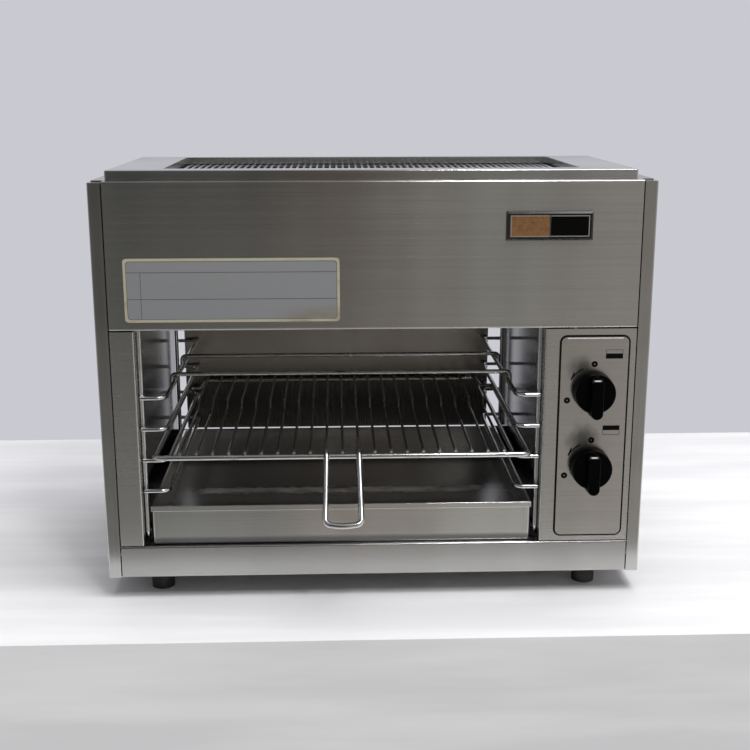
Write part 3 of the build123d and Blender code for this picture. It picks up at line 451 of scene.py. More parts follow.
@dataclass(frozen=True)
class Front:
    """Where the front of the casing is: turns millimetres on it into the model's frame."""

    middle: float
    face: float
    bottom: float

    @classmethod
    def of_casing(cls) -> "Front":
        """Reads the front from the casing's own pieces."""
        left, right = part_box("side_panel_left"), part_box("side_panel_right")
        return cls((left[0].x + right[1].x) / 2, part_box("front_fascia")[0].y, left[0].z)

    def span(self, node: str) -> tuple[float, float, float, float]:
        """Left, lower, right and upper edge of a node, in the front's millimetres."""
        low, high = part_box(node)
        return ((low.x - self.middle) / MM, (low.z - self.bottom) / MM,
                (high.x - self.middle) / MM, (high.z - self.bottom) / MM)

    def at(self, x: float, z: float, y: float = 0.0) -> Vector:
        """The point that lies x, y and z millimetres from the front's own origin."""
        return Vector((self.middle + x * MM, self.face + y * MM, self.bottom + z * MM))

    def depth(self, y: float) -> float:
        """The y in metres that lies so many millimetres behind the front."""
        return self.at(0.0, 0.0, y).y


@dataclass(frozen=True)
class RackWire(Wire):
    """The rack's rods: dark, with painted highlights on their sloped steps and at their front ends."""

    step: Pair = (140.5, 151.5)
    step_soft: float = 0.0008
    front_end: float = 4.0
    end_soft: float = 0.001

    def highlighted(self, recipe: Recipe) -> "Amount | float":
        """The painted highlights: the steps and the front ends."""
        _, y, _ = recipe.axes()
        front = Front.of_casing()
        near, far = (front.depth(place) for place in self.step)
        end = front.depth(self.front_end)
        ends = y.rise(end + self.end_soft, end - self.end_soft)
        return y.within(near, far, self.step_soft).larger(ends)


@dataclass(frozen=True)
class HemmedSteel(Steel):
    """The fascia's sheet, with a painted highlight: a pale band of colour along its folded lower edge."""

    hem_highlight: Colour = (0.92, 0.91, 0.89)
    hem_fade: Pair = (0.0013, 0.0008)

    def marks(self, recipe: Recipe) -> list[Mark]:
        """The painted highlight along the fold."""
        _, _, z = recipe.axes()
        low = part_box("front_fascia")[0].z
        start, full = self.hem_fade
        # Pale colour along the fold is a painted highlight of the bent edge.
        return [Mark(z.rise(low + start, low + full), self.hem_highlight, rougher=0.25)]


@dataclass(frozen=True)
class ShadedSteel(Steel):
    """The back reflector's sheet, with painted shade below the rack's level."""

    painted_shade: Colour = (0.20, 0.19, 0.18)
    shade_levels: Pair = (152.0, 112.0)
    shade_drift: float = 0.02
    shade_share: float = 0.85

    def marks(self, recipe: Recipe) -> list[Mark]:
        """The painted shade on the lower part."""
        _, _, z = recipe.axes()
        front = Front.of_casing()
        top, low = (front.at(0.0, level).z for level in self.shade_levels)
        drift = recipe.noise((5.0,) * 3, detail=1.0, offset=5.3)
        mask = (z + drift.swing(self.shade_drift)).rise(top, low) * self.shade_share
        return [Mark(mask, self.painted_shade, rougher=0.05)]


@dataclass(frozen=True)
class RubbedSteel(Steel):
    """The dial plate's sheet: a painted highlight on its upper edge, and smears of finger dirt and painted
    shadow.
    """

    smear_and_shadow: Colour = (0.10, 0.105, 0.095)
    smear_places: tuple[Pair, ...] = ((181.0, 190.0), (184.0, 126.0))
    smear_sizes: tuple[float, ...] = (14.0, 17.0)
    smear_rise: Pair = (1.15, 0.15)
    smear_ragged: float = 0.9
    smear_share: float = 0.85
    # Colour of the painted highlight along the upper edge.
    edge: Colour = (0.95, 0.95, 0.94)
    edge_band: Pair = (1.5, 0.6)
    edge_end: float = 5.0
    edge_soft: float = 0.0001
    end_soft: float = 0.001

    def marks(self, recipe: Recipe) -> list[Mark]:
        """The painted highlight on the upper edge, and one soft smear of dirt and painted shadow above each
        knob.
        """
        x, _, z = recipe.axes()
        front = Front.of_casing()
        low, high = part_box("control_plate")
        lower, upper = (high.z - drop * MM for drop in self.edge_band)
        inset = self.edge_end * MM
        wear_and_highlight = z.within(lower, upper, self.edge_soft) * x.within(low.x + inset, high.x - inset, self.end_soft)
        ragged = recipe.noise((90.0, 90.0, 60.0), detail=4.0, offset=8.3)
        # The bright band under the upper edge is a painted highlight.
        made = [Mark(wear_and_highlight, self.edge, rougher=0.1, matt=0.9)]
        # Each smear is finger dirt with a painted shadow of the knob.
        for (right, up), size in zip(self.smear_places, self.smear_sizes):
            centre = front.at(right, up)
            across, along = x - centre.x, z - centre.z
            away = (across * across + along * along).root() / (size * MM)
            mask = (away + ragged.swing(self.smear_ragged)).rise(*self.smear_rise) * self.smear_share
            made.append(Mark(mask, self.smear_and_shadow, rougher=0.10))
        return made


@dataclass(frozen=True)
class GreasySteel(Steel):
    """The tray's sheet, with painted shade, a painted reflection and a pale line of dried fat on its floor."""

    floor_shade: Colour = (0.31, 0.315, 0.325)
    floor_fade: Pair = (0.008, 0.004)
    fat_and_sheen: Colour = (0.88, 0.87, 0.84)
    fat_depth: Pair = (138.0, 153.0)
    fat_width: Pair = (-172.0, 112.0)
    fat_drift: float = 0.012
    fat_soft: float = 0.003
    side_soft: float = 0.006
    patch_rise: Pair = (0.25, 0.60)
    painted_sheen: Colour = (0.80, 0.79, 0.77)
    sheen_depth: Pair = (105.0, 150.0)
    sheen_soft: float = 0.016
    sheen_share: float = 0.30

    def marks(self, recipe: Recipe) -> list[Mark]:
        """The floor's painted shade, a soft painted reflection and a line of fat, partly painted reflection.
        """
        x, y, z = recipe.axes()
        front = Front.of_casing()
        near, far = (front.depth(place) for place in self.fat_depth)
        left, right = (front.at(place, 0.0).x for place in self.fat_width)
        start, end = (front.depth(place) for place in self.sheen_depth)
        ragged = recipe.noise((130.0, 260.0, 60.0), detail=4.0, offset=2.6)
        patchy = recipe.noise((34.0, 60.0, 20.0), detail=3.0, offset=6.1)
        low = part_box("drip_tray")[0].z
        across = (y + ragged.swing(self.fat_drift)).within(near, far, self.fat_soft)
        line = across * x.within(left, right, self.side_soft)
        ground = z.rise(*(low + height for height in self.floor_fade))
        painted_sheen = y.within(start, end, self.sheen_soft) * ground * self.sheen_share
        broken = line * patchy.rise(*self.patch_rise) * ground
        # Floor darker by painted shade; the soft band and part of the fat line's paleness are painted
        # reflection.
        return [Mark(ground, self.floor_shade, rougher=0.04), Mark(painted_sheen, self.painted_sheen, rougher=0.20, matt=0.6),
                Mark(broken, self.fat_and_sheen, rougher=0.30, matt=0.9)]


def both(*names: str) -> list[str]:
    """The front and the rear node of each name."""
    return [f"{name}_{end}" for name in names for end in ("front", "rear")]


def dress(material: bpy.types.Material, *nodes: str) -> None:
    """Gives carried-over CAD nodes their finish."""
    for name in nodes:
        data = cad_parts[name].data
        data.materials.clear()
        data.materials.append(material)
    log.info("dressed %s with %s", ", ".join(nodes), material.name)


def new_piece(name: str, verts: Sequence[Point], faces: Sequence[Sequence[int]], material: bpy.types.Material,
              body: str) -> bpy.types.Object:
    """Makes one mesh piece that rides on a body.

    Args:
        name: The piece's name.
        verts: Its points in metres.
        faces: Its faces as indices of points, seen from outside in turning order.
        material: Its finish.
        body: The CAD body that it rides on.

    Returns:
        The new object.
    """
    mesh = bpy.data.meshes.new(name)
    mesh.from_pydata([tuple(v) for v in verts], [], [tuple(f) for f in faces])
    mesh.validate()
    mesh.materials.append(material)
    piece = bpy.data.objects.new(name, mesh)
    bpy.context.scene.collection.objects.link(piece)
    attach(piece, body)
    log.info("built %s: %d faces on %s", name, len(faces), body)
    return piece


class Print:
    """Flat shapes, a little proud of the front, gathered into one mesh."""

    def __init__(self, front: Front, level: float, thickness: float) -> None:
        """Starts an empty print.

        Args:
            front: The casing's front.
            level: y of the surface that carries it, in metres.
            thickness: How far it stands out, in metres.
        """
        self.front = front
        self.back_y = level
        self.face_y = level - thickness
        self.verts: list[Vector] = []
        self.faces: list[tuple[int, ...]] = []

    def _point(self, x: float, z: float, y: float) -> int:
        """Adds a point and returns its index."""
        place = self.front.at(x, z)
        self.verts.append(Vector((place.x, y, place.z)))
        return len(self.verts) - 1

    def band(self, outer: Sequence[Point], inner: Sequence[Point], closed: bool = True) -> None:
        """A strip between two lines with as many points each, anticlockwise as seen from the front."""
        rings = [[self._point(x, z, y) for x, z in line] for line, y in
                 ((outer, self.face_y), (inner, self.face_y), (outer, self.back_y), (inner, self.back_y))]
        top, hole, low, under = rings
        count = len(outer)
        for i in range(count if closed else count - 1):
            j = (i + 1) % count
            self.faces += [(top[i], top[j], hole[j], hole[i]), (low[i], low[j], top[j], top[i]),
                           (hole[i], hole[j], under[j], under[i]), (under[i], under[j], low[j], low[i])]
        if not closed:
            for i, turn in ((0, 1), (count - 1, -1)):
                self.faces.append((top[i], hole[i], under[i], low[i])[::turn])

    def plate(self, outline: Sequence[Point]) -> None:
        """A filled shape, its outline anticlockwise as seen from the front."""
        top = [self._point(x, z, self.face_y) for x, z in outline]
        low = [self._point(x, z, self.back_y) for x, z in outline]
        count = len(outline)
        self.faces.append(tuple(top))
        self.faces.append(tuple(reversed(low)))
        for i in range(count):
            j = (i + 1) % count
            self.faces.append((low[i], low[j], top[j], top[i]))

    def stroke(self, start: Point, end: Point, line: float) -> None:
        """A straight line of that width between two points."""
        along = Vector((end[0] - start[0], end[1] - start[1]))
        side = Vector((along.y, -along.x)).normalized() * line / 2
        self.plate([(start[0] + side.x, start[1] + side.y), (end[0] + side.x, end[1] + side.y),
                    (end[0] - side.x, end[1] - side.y), (start[0] - side.x, start[1] - side.y)])

    def finish(self, name: str, material: bpy.types.Material) -> bpy.types.Object:
        """Makes the gathered shapes one piece on the casing."""
        return new_piece(name, self.verts, self.faces, material, "root")


def arc(centre: Point, radius: float, start: float, end: float, steps: int) -> list[Pair]:
    """Points of an arc, with its angles in degrees, anticlockwise from the right."""
    turns = [math.radians(start + (end - start) * i / steps) for i in range(steps + 1)]
    return [(centre[0] + radius * math.cos(a), centre[1] + radius * math.sin(a)) for a in turns]


def circle(centre: Point, radius: float, points: int) -> list[Pair]:
    """So many points all round a circle, anticlockwise from the right."""
    return arc(centre, radius, 0.0, FULL_TURN - FULL_TURN / points, points - 1)


def rounded(left: float, bottom: float, right: float, top: float, radius: float,
            steps: int = 6) -> list[Pair]:
    """Outline of a rectangle with rounded corners, anticlockwise."""
    corners = (((right - radius, bottom + radius), -90.0), ((right - radius, top - radius), 0.0),
               ((left + radius, top - radius), 90.0), ((left + radius, bottom + radius), 180.0))
    return [p for centre, start in corners for p in arc(centre, radius, start, start + 90.0, steps)]


def rectangle(left: float, bottom: float, right: float, top: float) -> list[Pair]:
    """Outline of a rectangle, anticlockwise."""
    return [(left, bottom), (right, bottom), (right, top), (left, top)]


@dataclass
class Dial:
    """Printed marks round one knob: two rings, an arrow and the burner's sign. Sizes in millimetres."""

    name: str
    axis: Pair
    filled: Pair
    open_box: Pair
    ring_radius: float = 2.8
    ring_line: float = 2.25
    ring_points: int = 24
    off_place: Pair = (0.3, 24.4)
    full_place: Pair = (-22.8, -8.2)
    arrow_radius: float = 22.4
    arrow_turn: Pair = (114.7, 152.5)
    arrow_line: float = 1.15
    arrow_steps: int = 14
    barb: Pair = (2.7, 7.0)
    sign: Pair = (9.9, 24.9)
    sign_line: float = 0.3
    thickness: float = 0.06

    def build(self, front: Front, material: bpy.types.Material) -> None:
        """Prints the marks on the dial plate."""
        page = Print(front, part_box("control_plate")[0].y, self.thickness * MM)
        x, z = self.axis
        for right, up in (self.off_place, self.full_place):
            centre = (x + right, z + up)
            page.band(circle(centre, self.ring_radius, self.ring_points),
                      circle(centre, self.ring_radius - self.ring_line, self.ring_points))
        start, end = self.arrow_turn
        half = self.arrow_line / 2
        page.band(arc(self.axis, self.arrow_radius + half, start, end, self.arrow_steps),
                  arc(self.axis, self.arrow_radius - half, start, end, self.arrow_steps), closed=False)
        tip = arc(self.axis, self.arrow_radius, end, end, 1)[0]
        page.stroke(tip, (tip[0] + self.barb[0], tip[1] + self.barb[1]), self.arrow_line)
        left, right = (x + place for place in self.sign)
        page.plate(rectangle(left, z + self.filled[0], right, z + self.filled[1]))
        low, high = (z + place for place in self.open_box)
        line = self.sign_line
        page.band(rectangle(left, low, right, high),
                  rectangle(left + line, low + line, right - line, high - line))
        page.finish(self.name, material)


@dataclass
class PlateShadow:
    """Dark line round the dial plate, painted shadow along its edge. Sizes in millimetres."""

    line: float = 1.7
    radius: float = 5.0
    thickness: float = 0.05

    def build(self, front: Front, material: bpy.types.Material) -> None:
        """Lays the line on the control panel, round the plate."""
        left, bottom, right, top = front.span("control_plate")
        page = Print(front, front.face, self.thickness * MM)
        page.band(rounded(left - self.line, bottom - self.line, right + self.line, top + self.line,
                          self.radius + self.line),
                  rounded(left, bottom, right, top, self.radius))
        page.finish("plate_shadow", material)


@dataclass
class BadgeTrim:
    """Silver line round the badge's two cells and between them. Sizes in millimetres."""

    line: float = 0.8
    inset: float = 0.5
    thickness: float = 0.25
    sunk: float = 0.05

    def build(self, front: Front, material: bpy.types.Material) -> None:
        """Lays the line on the badge's cells."""
        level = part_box("badge_plates")[0].y + self.sunk * MM
        page = Print(front, level, (self.thickness + self.sunk) * MM)
        left, bottom, right, top = front.span("badge_plates")
        outer = rectangle(left + self.inset, bottom + self.inset, right - self.inset, top - self.inset)
        shift = self.inset + self.line
        page.band(outer, rectangle(left + shift, bottom + shift, right - shift, top - shift))
        middle = (left + right) / 2
        page.plate(rectangle(middle - self.line / 2, bottom + shift, middle + self.line / 2, top - shift))
        page.finish("badge_trim", material)


@dataclass
class NoticeLines:
    """Cream border of the bare notice plate, and the dark rules inside it. Sizes in millimetres."""

    width: float = 2.3
    radius: float = 3.0
    rule: float = 0.35
    rows: Pair = (11.9, 34.9)
    column: float = 14.3
    thickness: float = 0.05

    def build(self, front: Front, cream: bpy.types.Material, dark: bpy.types.Material) -> None:
        """Lays the border and the rules on the notice plate."""
        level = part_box("notice_plate")[0].y
        left, bottom, right, top = front.span("notice_plate")
        inner = rounded(left + self.width, bottom + self.width, right - self.width, top - self.width,
                        self.radius)
        page = Print(front, level, self.thickness * MM)
        page.band(rounded(left, bottom, right, top, self.radius), inner)
        page.finish("notice_border", cream)
        page = Print(front, level, self.thickness * MM)
        edge = self.width + self.rule
        page.band(inner, rounded(left + edge, bottom + edge, right - edge, top - edge, self.radius))
        for drop in self.rows:
            page.stroke((left + edge, top - drop), (right - edge, top - drop), self.rule)
        page.stroke((left + self.column, bottom + edge), (left + self.column, top - self.rows[0]), self.rule)
        page.finish("notice_rules", dark)


@dataclass(frozen=True)
class Lamp:
    """A square soft lamp that looks at the grill."""

    name: str
    place: tuple[float, float, float]
    size: float
    power: float
    mirrored: bool
    aim: tuple[float, float, float] = (0.0, 0.0, 0.15)

    def hang(self) -> None:
        """Adds the lamp, which shows in polished metal only where it says so."""
        data = bpy.data.lights.new(self.name, "AREA")
        data.size = self.size
        data.energy = self.power
        lamp = bpy.data.objects.new(self.name, data)
        turn = (Vector(self.aim) - Vector(self.place)).to_track_quat("-Z", "Y")
        lamp.matrix_world = Matrix.Translation(self.place) @ turn.to_matrix().to_4x4()
        lamp.visible_glossy = self.mirrored
        bpy.context.scene.collection.objects.link(lamp)


@dataclass
class Studio:
    """Camera, floor and light.

    The camera's place is its x, z and y in the front's millimetres, and its angles are degrees. The floor's
    edges are the y of its near and far edge, in the same millimetres, and its other sizes are metres.
    """

    lens: float = 56.06
    sensor: float = 36.0
    place: tuple[float, float, float] = (-33.8, 427.4, -986.8)
    turn: float = -1.96
    tilt: float = 13.74
    roll: float = -0.06
    floor_edges: Pair = (-91.0, 499.0)
    floor_side: float = 1.1
    floor_thickness: float = 0.20
    floor_dark: Colour = (0.70, 0.70, 0.715)
    floor_pale: Colour = (0.80, 0.80, 0.81)
    floor_streaks: Pair = (0.35, 0.70)
    floor_roughness: float = 0.42
    floor_spread: float = 0.3
    face_fade: Pair = (0.0006, 0.0002)
    face_light: float = 0.88
    face_share: float = 0.75
    wall: Colour = (0.585, 0.59, 0.635)
    ceiling: Colour = (0.24, 0.24, 0.245)
    ground: Colour = (0.84, 0.83, 0.80)
    dusk: Colour = (0.03, 0.03, 0.03)
    dusk_up: Pair = (-0.15, -0.03)
    dusk_side: Pair = (0.20, 0.0)
    dusk_share: float = 0.30
    low_up: Pair = (-0.10, -0.26)
    low_share: float = 0.10
    steep_up: Pair = (-0.32, -0.46)
    steep_share: float = 0.35
    wall_back: Pair = (-0.35, 0.30)
    ceiling_up: Pair = (0.45, 0.85)
    room: tuple[tuple[float, Colour], ...] = (
        (0.00, (0.20, 0.20, 0.20)), (0.26, (0.043, 0.046, 0.041)), (0.46, (0.047, 0.047, 0.041)),
        (0.485, (0.125, 0.088, 0.066)), (0.53, (0.105, 0.082, 0.064)), (0.575, (0.15, 0.125, 0.105)),
        (0.60, (0.20, 0.195, 0.175)), (0.64, (0.29, 0.295, 0.25)), (0.665, (0.16, 0.153, 0.143)),
        (0.71, (0.15, 0.138, 0.127)), (0.735, (0.25, 0.225, 0.21)), (1.00, (0.42, 0.41, 0.40)))
    lamps: tuple[Lamp, ...] = (Lamp("lamp_above", (0.25, -0.20, 1.9), 1.4, 38.0, False),
                               Lamp("lamp_front", (0.30, -1.0, 1.5), 0.22, 5.0, True),
                               Lamp("lamp_high", (0.60, -0.50, 1.72), 0.6, 6.0, True))

    def camera(self, front: Front) -> None:
        """Sets the camera at the photograph's place."""
        data = bpy.data.cameras.new("camera")
        data.lens = self.lens
        data.sensor_width = self.sensor
        camera = bpy.data.objects.new("camera", data)
        camera.matrix_world = (Matrix.Translation(front.at(*self.place))
                               @ Matrix.Rotation(math.radians(self.turn), 4, "Z")
                               @ Matrix.Rotation(math.radians(90.0 - self.tilt), 4, "X")
                               @ Matrix.Rotation(math.radians(self.roll), 4, "Z"))
        bpy.context.scene.collection.objects.link(camera)
        bpy.context.scene.camera = camera

    def floor(self, front: Front) -> None:
        """A pale table top that the grill stands on."""
        x, low = self.floor_side, -self.floor_thickness
        near, far = (front.at(0.0, 0.0, edge).y for edge in self.floor_edges)
        verts = [(sx * x, y, z) for z in (low, 0.0) for sx, y in ((-1, near), (1, near), (1, far), (-1, far))]
        faces = [(4, 5, 6, 7), (3, 2, 1, 0), (0, 1, 5, 4), (1, 2, 6, 5), (2, 3, 7, 6), (3, 0, 4, 7)]
        mesh = bpy.data.meshes.new("floor")
        mesh.from_pydata(verts, [], faces)
        material, recipe = new_recipe("floor")
        streak = recipe.noise((3.0, 26.0, 26.0), detail=4.0, offset=1.3)
        colour = recipe.blend(streak.rise(*self.floor_streaks), self.floor_dark, self.floor_pale)
        rough = self.floor_roughness + streak.swing(self.floor_spread)
        top = recipe.node("ShaderNodeBsdfPrincipled", inputs={"Base Color": colour, "Roughness": rough})
        shown = recipe.node("ShaderNodeEmission", inputs={"Color": colour, "Strength": self.face_light})
        _, y, _ = recipe.axes()
        seen = Amount(recipe, recipe.node("ShaderNodeLightPath").outputs["Is Camera Ray"])
        face = y.rise(*(near + step for step in self.face_fade)) * seen * self.face_share
        mixed = recipe.node("ShaderNodeMixShader", inputs={0: face, 1: top.outputs[0], 2: shown.outputs[0]})
        recipe.node("ShaderNodeOutputMaterial", inputs={"Surface": mixed.outputs[0]})
        mesh.materials.append(material)
        floor = bpy.data.objects.new("floor", mesh)
        bpy.context.scene.collection.objects.link(floor)

    def light(self) -> None:
        """A pale wall behind, a darker room in front, a ceiling, a pale ground and the lamps."""
        world = bpy.data.worlds.new("room")
        world.use_nodes = True
        bpy.context.scene.world = world
        recipe = Recipe(world.node_tree)
        x, y, z = recipe.axes("Generated")
        room = recipe.node("ShaderNodeValToRGB", {"stops": self.room}, {"Fac": x + 0.5}).outputs[0]
        dim = z.rise(*self.dusk_up) * x.rise(*self.dusk_side) * self.dusk_share
        level = recipe.blend(dim, room, self.dusk)
        low = recipe.blend(z.rise(*self.low_up) * self.low_share, level, self.ground)
        steep = recipe.blend(z.rise(*self.steep_up) * self.steep_share, low, self.ground)
        behind = recipe.blend(y.rise(*self.wall_back), steep, self.wall)
        above = recipe.blend(z.rise(*self.ceiling_up), behind, self.ceiling)
        seen = Amount(recipe, recipe.node("ShaderNodeLightPath").outputs["Is Camera Ray"])
        shown = recipe.blend(seen, above, self.wall)
        back = recipe.node("ShaderNodeBackground", inputs={"Color": shown, "Strength": 1.0})
        recipe.node("ShaderNodeOutputWorld", inputs={"Surface": back.outputs[0]})
        for lamp in self.lamps:
            lamp.hang()


@dataclass
class Casing:
    """Outer sheets, inner walls and roof."""

    side: Steel = Steel("side_steel", grain=Grain.UPRIGHT, colour=(0.55, 0.545, 0.53), roughness=0.24,
                        spread=0.06, bands=0.16)
    fascia: Steel = HemmedSteel("fascia_steel", roughness=0.25, spread=0.05, bands=0.16, stretch=0.75)
    front: Steel = Steel("front_steel", colour=(0.64, 0.635, 0.62), roughness=0.27, spread=0.05,
                         lines=0.10, line_depth=0.000004)
    base: Steel = Steel("base_steel", colour=(0.53, 0.525, 0.515), roughness=0.25, spread=0.05, lines=0.10)
    # The cavity's dark steel colour is painted shade; its brown stains are dirt.
    cavity: Steel = Steel("cavity_steel", colour=(0.20, 0.20, 0.20), stain=(0.26, 0.23, 0.20), dirt=0.5,
                          roughness=0.14, spread=0.04, lines=0.05, line_depth=0.000004, stretch=0.8,
                          grain=Grain.UPRIGHT)
    # The reflector's dark lower part is painted shade.
    shield: Steel = ShadedSteel("reflector_steel", colour=(0.50, 0.475, 0.45), stain=(0.22, 0.19, 0.16),
                               dirt=0.6, roughness=0.22, spread=0.08, lines=0.06, line_depth=0.000004,
                               bands=0.22, stretch=0.7, grain=Grain.UPRIGHT)
    dark: Steel = Steel("dark_steel", colour=(0.22, 0.21, 0.20), stain=(0.08, 0.065, 0.05), dirt=0.7,
                        roughness=0.33)
    cover: Steel = Steel("cover_steel", colour=(0.62, 0.62, 0.625), roughness=0.22)
    grille: Wire = Wire("grille_wire", colour=(0.88, 0.88, 0.88), roughness=0.25, wear=0.1)

    def build(self) -> None:
        """Dresses the casing's sheets."""
        dress(self.side.material(), "side_panel_left", "side_panel_right", "rear_frame", "roof_deck")
        dress(self.fascia.material(), "front_fascia")
        dress(self.front.material(), "front_post_left", "control_panel")
        dress(self.base.material(), "base_pan")
        dress(self.cavity.material(), "inner_side_left", "partition", "floor_plate", "burner_brackets",
              "guide_clips")
        dress(self.shield.material(), "back_reflector")
        dress(self.dark.material(), "flue_baffle")
        dress(self.cover.material(), "top_cover")
        dress(self.grille.material(), "top_grille")


@dataclass
class ControlPlate:
    """The dial plate, its marks and the knobs."""

    plate: Steel = RubbedSteel("dial_steel", colour=(0.68, 0.66, 0.635), dirt=0.35, roughness=0.20,
                               spread=0.05)
    # The dark line round the plate is painted shadow.
    shadow: Moulded = Moulded("plate_painted_shadow", (0.006, 0.006, 0.006), roughness=0.7, dust=0.0, specular=0.1)
    knob: KnobPlastic = KnobPlastic("knob_black")
    ink: Moulded = Moulded("dial_ink", (0.003, 0.003, 0.003), roughness=0.6, dust=0.0, specular=0.1)
    upper: Dial = field(default_factory=lambda: Dial(
        "dial_marks_front", axis=(191.6, 169.8), filled=(29.2, 33.5), open_box=(33.5, 37.2)))
    lower: Dial = field(default_factory=lambda: Dial(
        "dial_marks_rear", axis=(191.6, 100.5), filled=(33.8, 37.8), open_box=(29.2, 33.8)))

    def build(self, front: Front) -> None:
        """Dresses the plate and knobs, and prints both dials."""
        dress(self.plate.material(), "control_plate")
        for knob in both("knob"):
            dress(self.knob.material(knob), knob)
        PlateShadow().build(front, self.shadow.material())
        ink = self.ink.material()
        self.upper.build(front, ink)
        self.lower.build(front, ink)


@dataclass
class Signs:
    """The bare badge and the bare notice plate."""

    frame_black: Moulded = Moulded("badge_black", (0.004, 0.004, 0.0045), roughness=0.24, coat=0.3)
    silver: Steel = Steel("badge_silver", colour=(0.78, 0.78, 0.77), roughness=0.25, dirt=0.2)
    bronze: Colour = (0.50, 0.27, 0.13)
    bronze_rise: Pair = (0.35, 0.75)
    bronze_shade: float = 0.72
    bronze_metal: float = 0.75
    black: Colour = (0.002, 0.002, 0.002)
    cell_soft: float = 0.0001
    cell_roughness: float = 0.30
    cell_spread: float = 0.2
    cell_specular: float = 0.1
    notice: Colour = (0.39, 0.40, 0.42)
    cream: Colour = (0.72, 0.67, 0.51)
    rule: Moulded = Moulded("notice_ink", (0.05, 0.05, 0.05), roughness=0.5, dust=0.1)
    brown: Colour = (0.30, 0.22, 0.11)
    brown_from: float = 0.62
    brown_height: float = 0.018
    brown_share: float = 0.9
    spot_rise: Pair = (0.50, 0.75)
    corner_rise: Pair = (0.25, 0.60)
    foil_metal: float = 0.35
    foil_roughness: float = 0.42
    foil_spread: float = 0.25

    def _cells(self) -> bpy.types.Material:
        """Left cell bronze, right cell black, parted at the middle of the plates."""
        material, recipe = new_recipe("badge_inlay")
        low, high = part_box("badge_plates")
        x, _, _ = recipe.axes()
        middle = (low.x + high.x) / 2
        right = x.rise(middle - self.cell_soft, middle + self.cell_soft)
        cloud = recipe.noise((300.0,) * 3, detail=3.0, offset=2.0)
        shaded = tuple(channel * self.bronze_shade for channel in self.bronze)
        bronze = recipe.blend(cloud.rise(*self.bronze_rise), self.bronze, shaded)
        recipe.surface(Base_Color=recipe.blend(right, bronze, self.black),
                       Metallic=self.bronze_metal - right * self.bronze_metal,
                       Roughness=self.cell_roughness + cloud.swing(self.cell_spread),
                       Specular_IOR_Level=self.cell_specular)
        return material

    def _paper(self, name: str, colour: Colour, stain: float) -> bpy.types.Material:
        """Metal foil sign: a flat tone with brown stains, most at the lower right."""
        material, recipe = new_recipe(name)
        low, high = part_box("notice_plate")
        x, _, z = recipe.axes()
        cloud = recipe.noise((40.0, 40.0, 90.0), detail=4.0, offset=3.3)
        start = low.x + (high.x - low.x) * self.brown_from
        place = x.rise(start, high.x) * z.rise(low.z + self.brown_height, low.z)
        corner = place * cloud.rise(*self.corner_rise) * self.brown_share
        brown = (cloud.rise(*self.spot_rise) * stain + corner).smaller(1.0)
        recipe.surface(Base_Color=recipe.blend(brown, colour, self.brown), Metallic=self.foil_metal,
                       Roughness=self.foil_roughness + cloud.swing(self.foil_spread))
        return material

    def build(self, front: Front) -> None:
        """Dresses badge and notice, and lays their lines."""
        dress(self.frame_black.material(), "badge_frame")
        dress(self._cells(), "badge_plates")
        BadgeTrim().build(front, self.silver.material())
        dress(self._paper("notice_grey", self.notice, 0.06), "notice_plate")
        NoticeLines().build(front, self._paper("notice_cream", self.cream, 0.35), self.rule.material())


@dataclass
class Inside:
    """Rack, guides and tray."""

    wire: Wire = Wire("rod_chrome")
    # The rods' dark colour is painted shade, much darker than the frame's wire; their dull patches are wear.
    rods: Wire = RackWire("rack_wire", colour=(0.27, 0.27, 0.27), dull=(0.12, 0.11, 0.10), roughness=0.06,
                          wear=0.5)
    tray: Steel = GreasySteel("tray_steel", colour=(0.80, 0.795, 0.78), roughness=0.16, spread=0.04,
                              lines=0.08, bands=0.14, stretch=0.6)

    def build(self) -> None:
        """Dresses the wirework and the tray."""
        dress(self.wire.material(), "rack_frame", "rack_handle", "rack_guide_left", "rack_guide_right",
              "cross_wires")
        dress(self.rods.material(), "rack_rods")
        dress(self.tray.material(), "drip_tray")


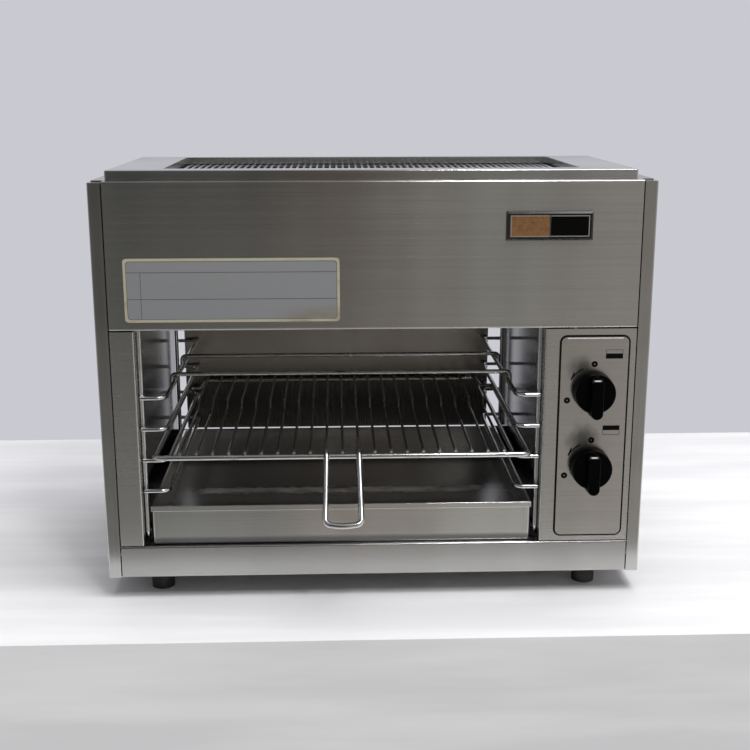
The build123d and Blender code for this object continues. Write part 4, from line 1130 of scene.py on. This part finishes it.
@dataclass
class GasParts:
    """Burners, gas train and spark gear."""

    burner: Steel = Steel("burner_steel", colour=(0.30, 0.28, 0.26), stain=(0.12, 0.08, 0.05), dirt=0.9,
                          roughness=0.4)
    plaque: Plaque = Plaque("plaque_ceramic")
    brass: Cast = Cast("nozzle_brass", (0.72, 0.50, 0.20), (0.34, 0.22, 0.09))
    alloy: Cast = Cast("cock_alloy", (0.60, 0.60, 0.61), (0.36, 0.36, 0.36), roughness=0.5)
    pipe: Cast = Cast("pipe_aluminium", (0.74, 0.74, 0.75), (0.50, 0.50, 0.50), roughness=0.32)
    screw: Steel = Steel("screw_steel", colour=(0.62, 0.62, 0.62), roughness=0.28, grain=Grain.NONE)
    glaze: Moulded = Moulded("electrode_ceramic", (0.72, 0.71, 0.67), roughness=0.3, dust=0.25)
    sleeve: Moulded = Moulded("lead_rubber", (0.05, 0.012, 0.01), roughness=0.55, dust=0.15)
    spark: Moulded = Moulded("igniter_plastic", (0.03, 0.03, 0.032), roughness=0.4, dust=0.15)
    rubber: Moulded = Moulded("foot_rubber", (0.014, 0.014, 0.014), roughness=0.62, dust=0.14)

    def build(self) -> None:
        """Dresses everything that carries gas or a spark, and the feet."""
        dress(self.burner.material(), *both("burner_box", "mixing_tube", "air_shutter"))
        dress(self.plaque.material(), *both("ceramic_plaques"))
        dress(self.brass.material(), "gas_nozzles", "gas_inlet", *both("cock_plug"))
        dress(self.alloy.material(), "gas_manifold", *both("gas_cock"))
        dress(self.pipe.material(), *both("outlet_pipe"))
        dress(self.screw.material(), "body_screws", "foot_screws", *both("spindle", "return_spring"))
        dress(self.glaze.material(), "electrodes")
        dress(self.sleeve.material(), "igniter_leads")
        dress(self.spark.material(), *both("igniter"))
        dress(self.rubber.material(), "feet")


def main() -> None:
    """Builds the looks in order."""
    logging.basicConfig(level=logging.INFO, format="%(name)s: %(message)s")
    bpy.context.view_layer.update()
    front = Front.of_casing()
    studio = Studio()
    studio.camera(front)
    studio.floor(front)
    studio.light()
    Casing().build()
    ControlPlate().build(front)
    Signs().build(front)
    Inside().build()
    GasParts().build()
    bpy.context.scene.view_settings.view_transform = "Standard"


if __name__ == "__main__":
    main()
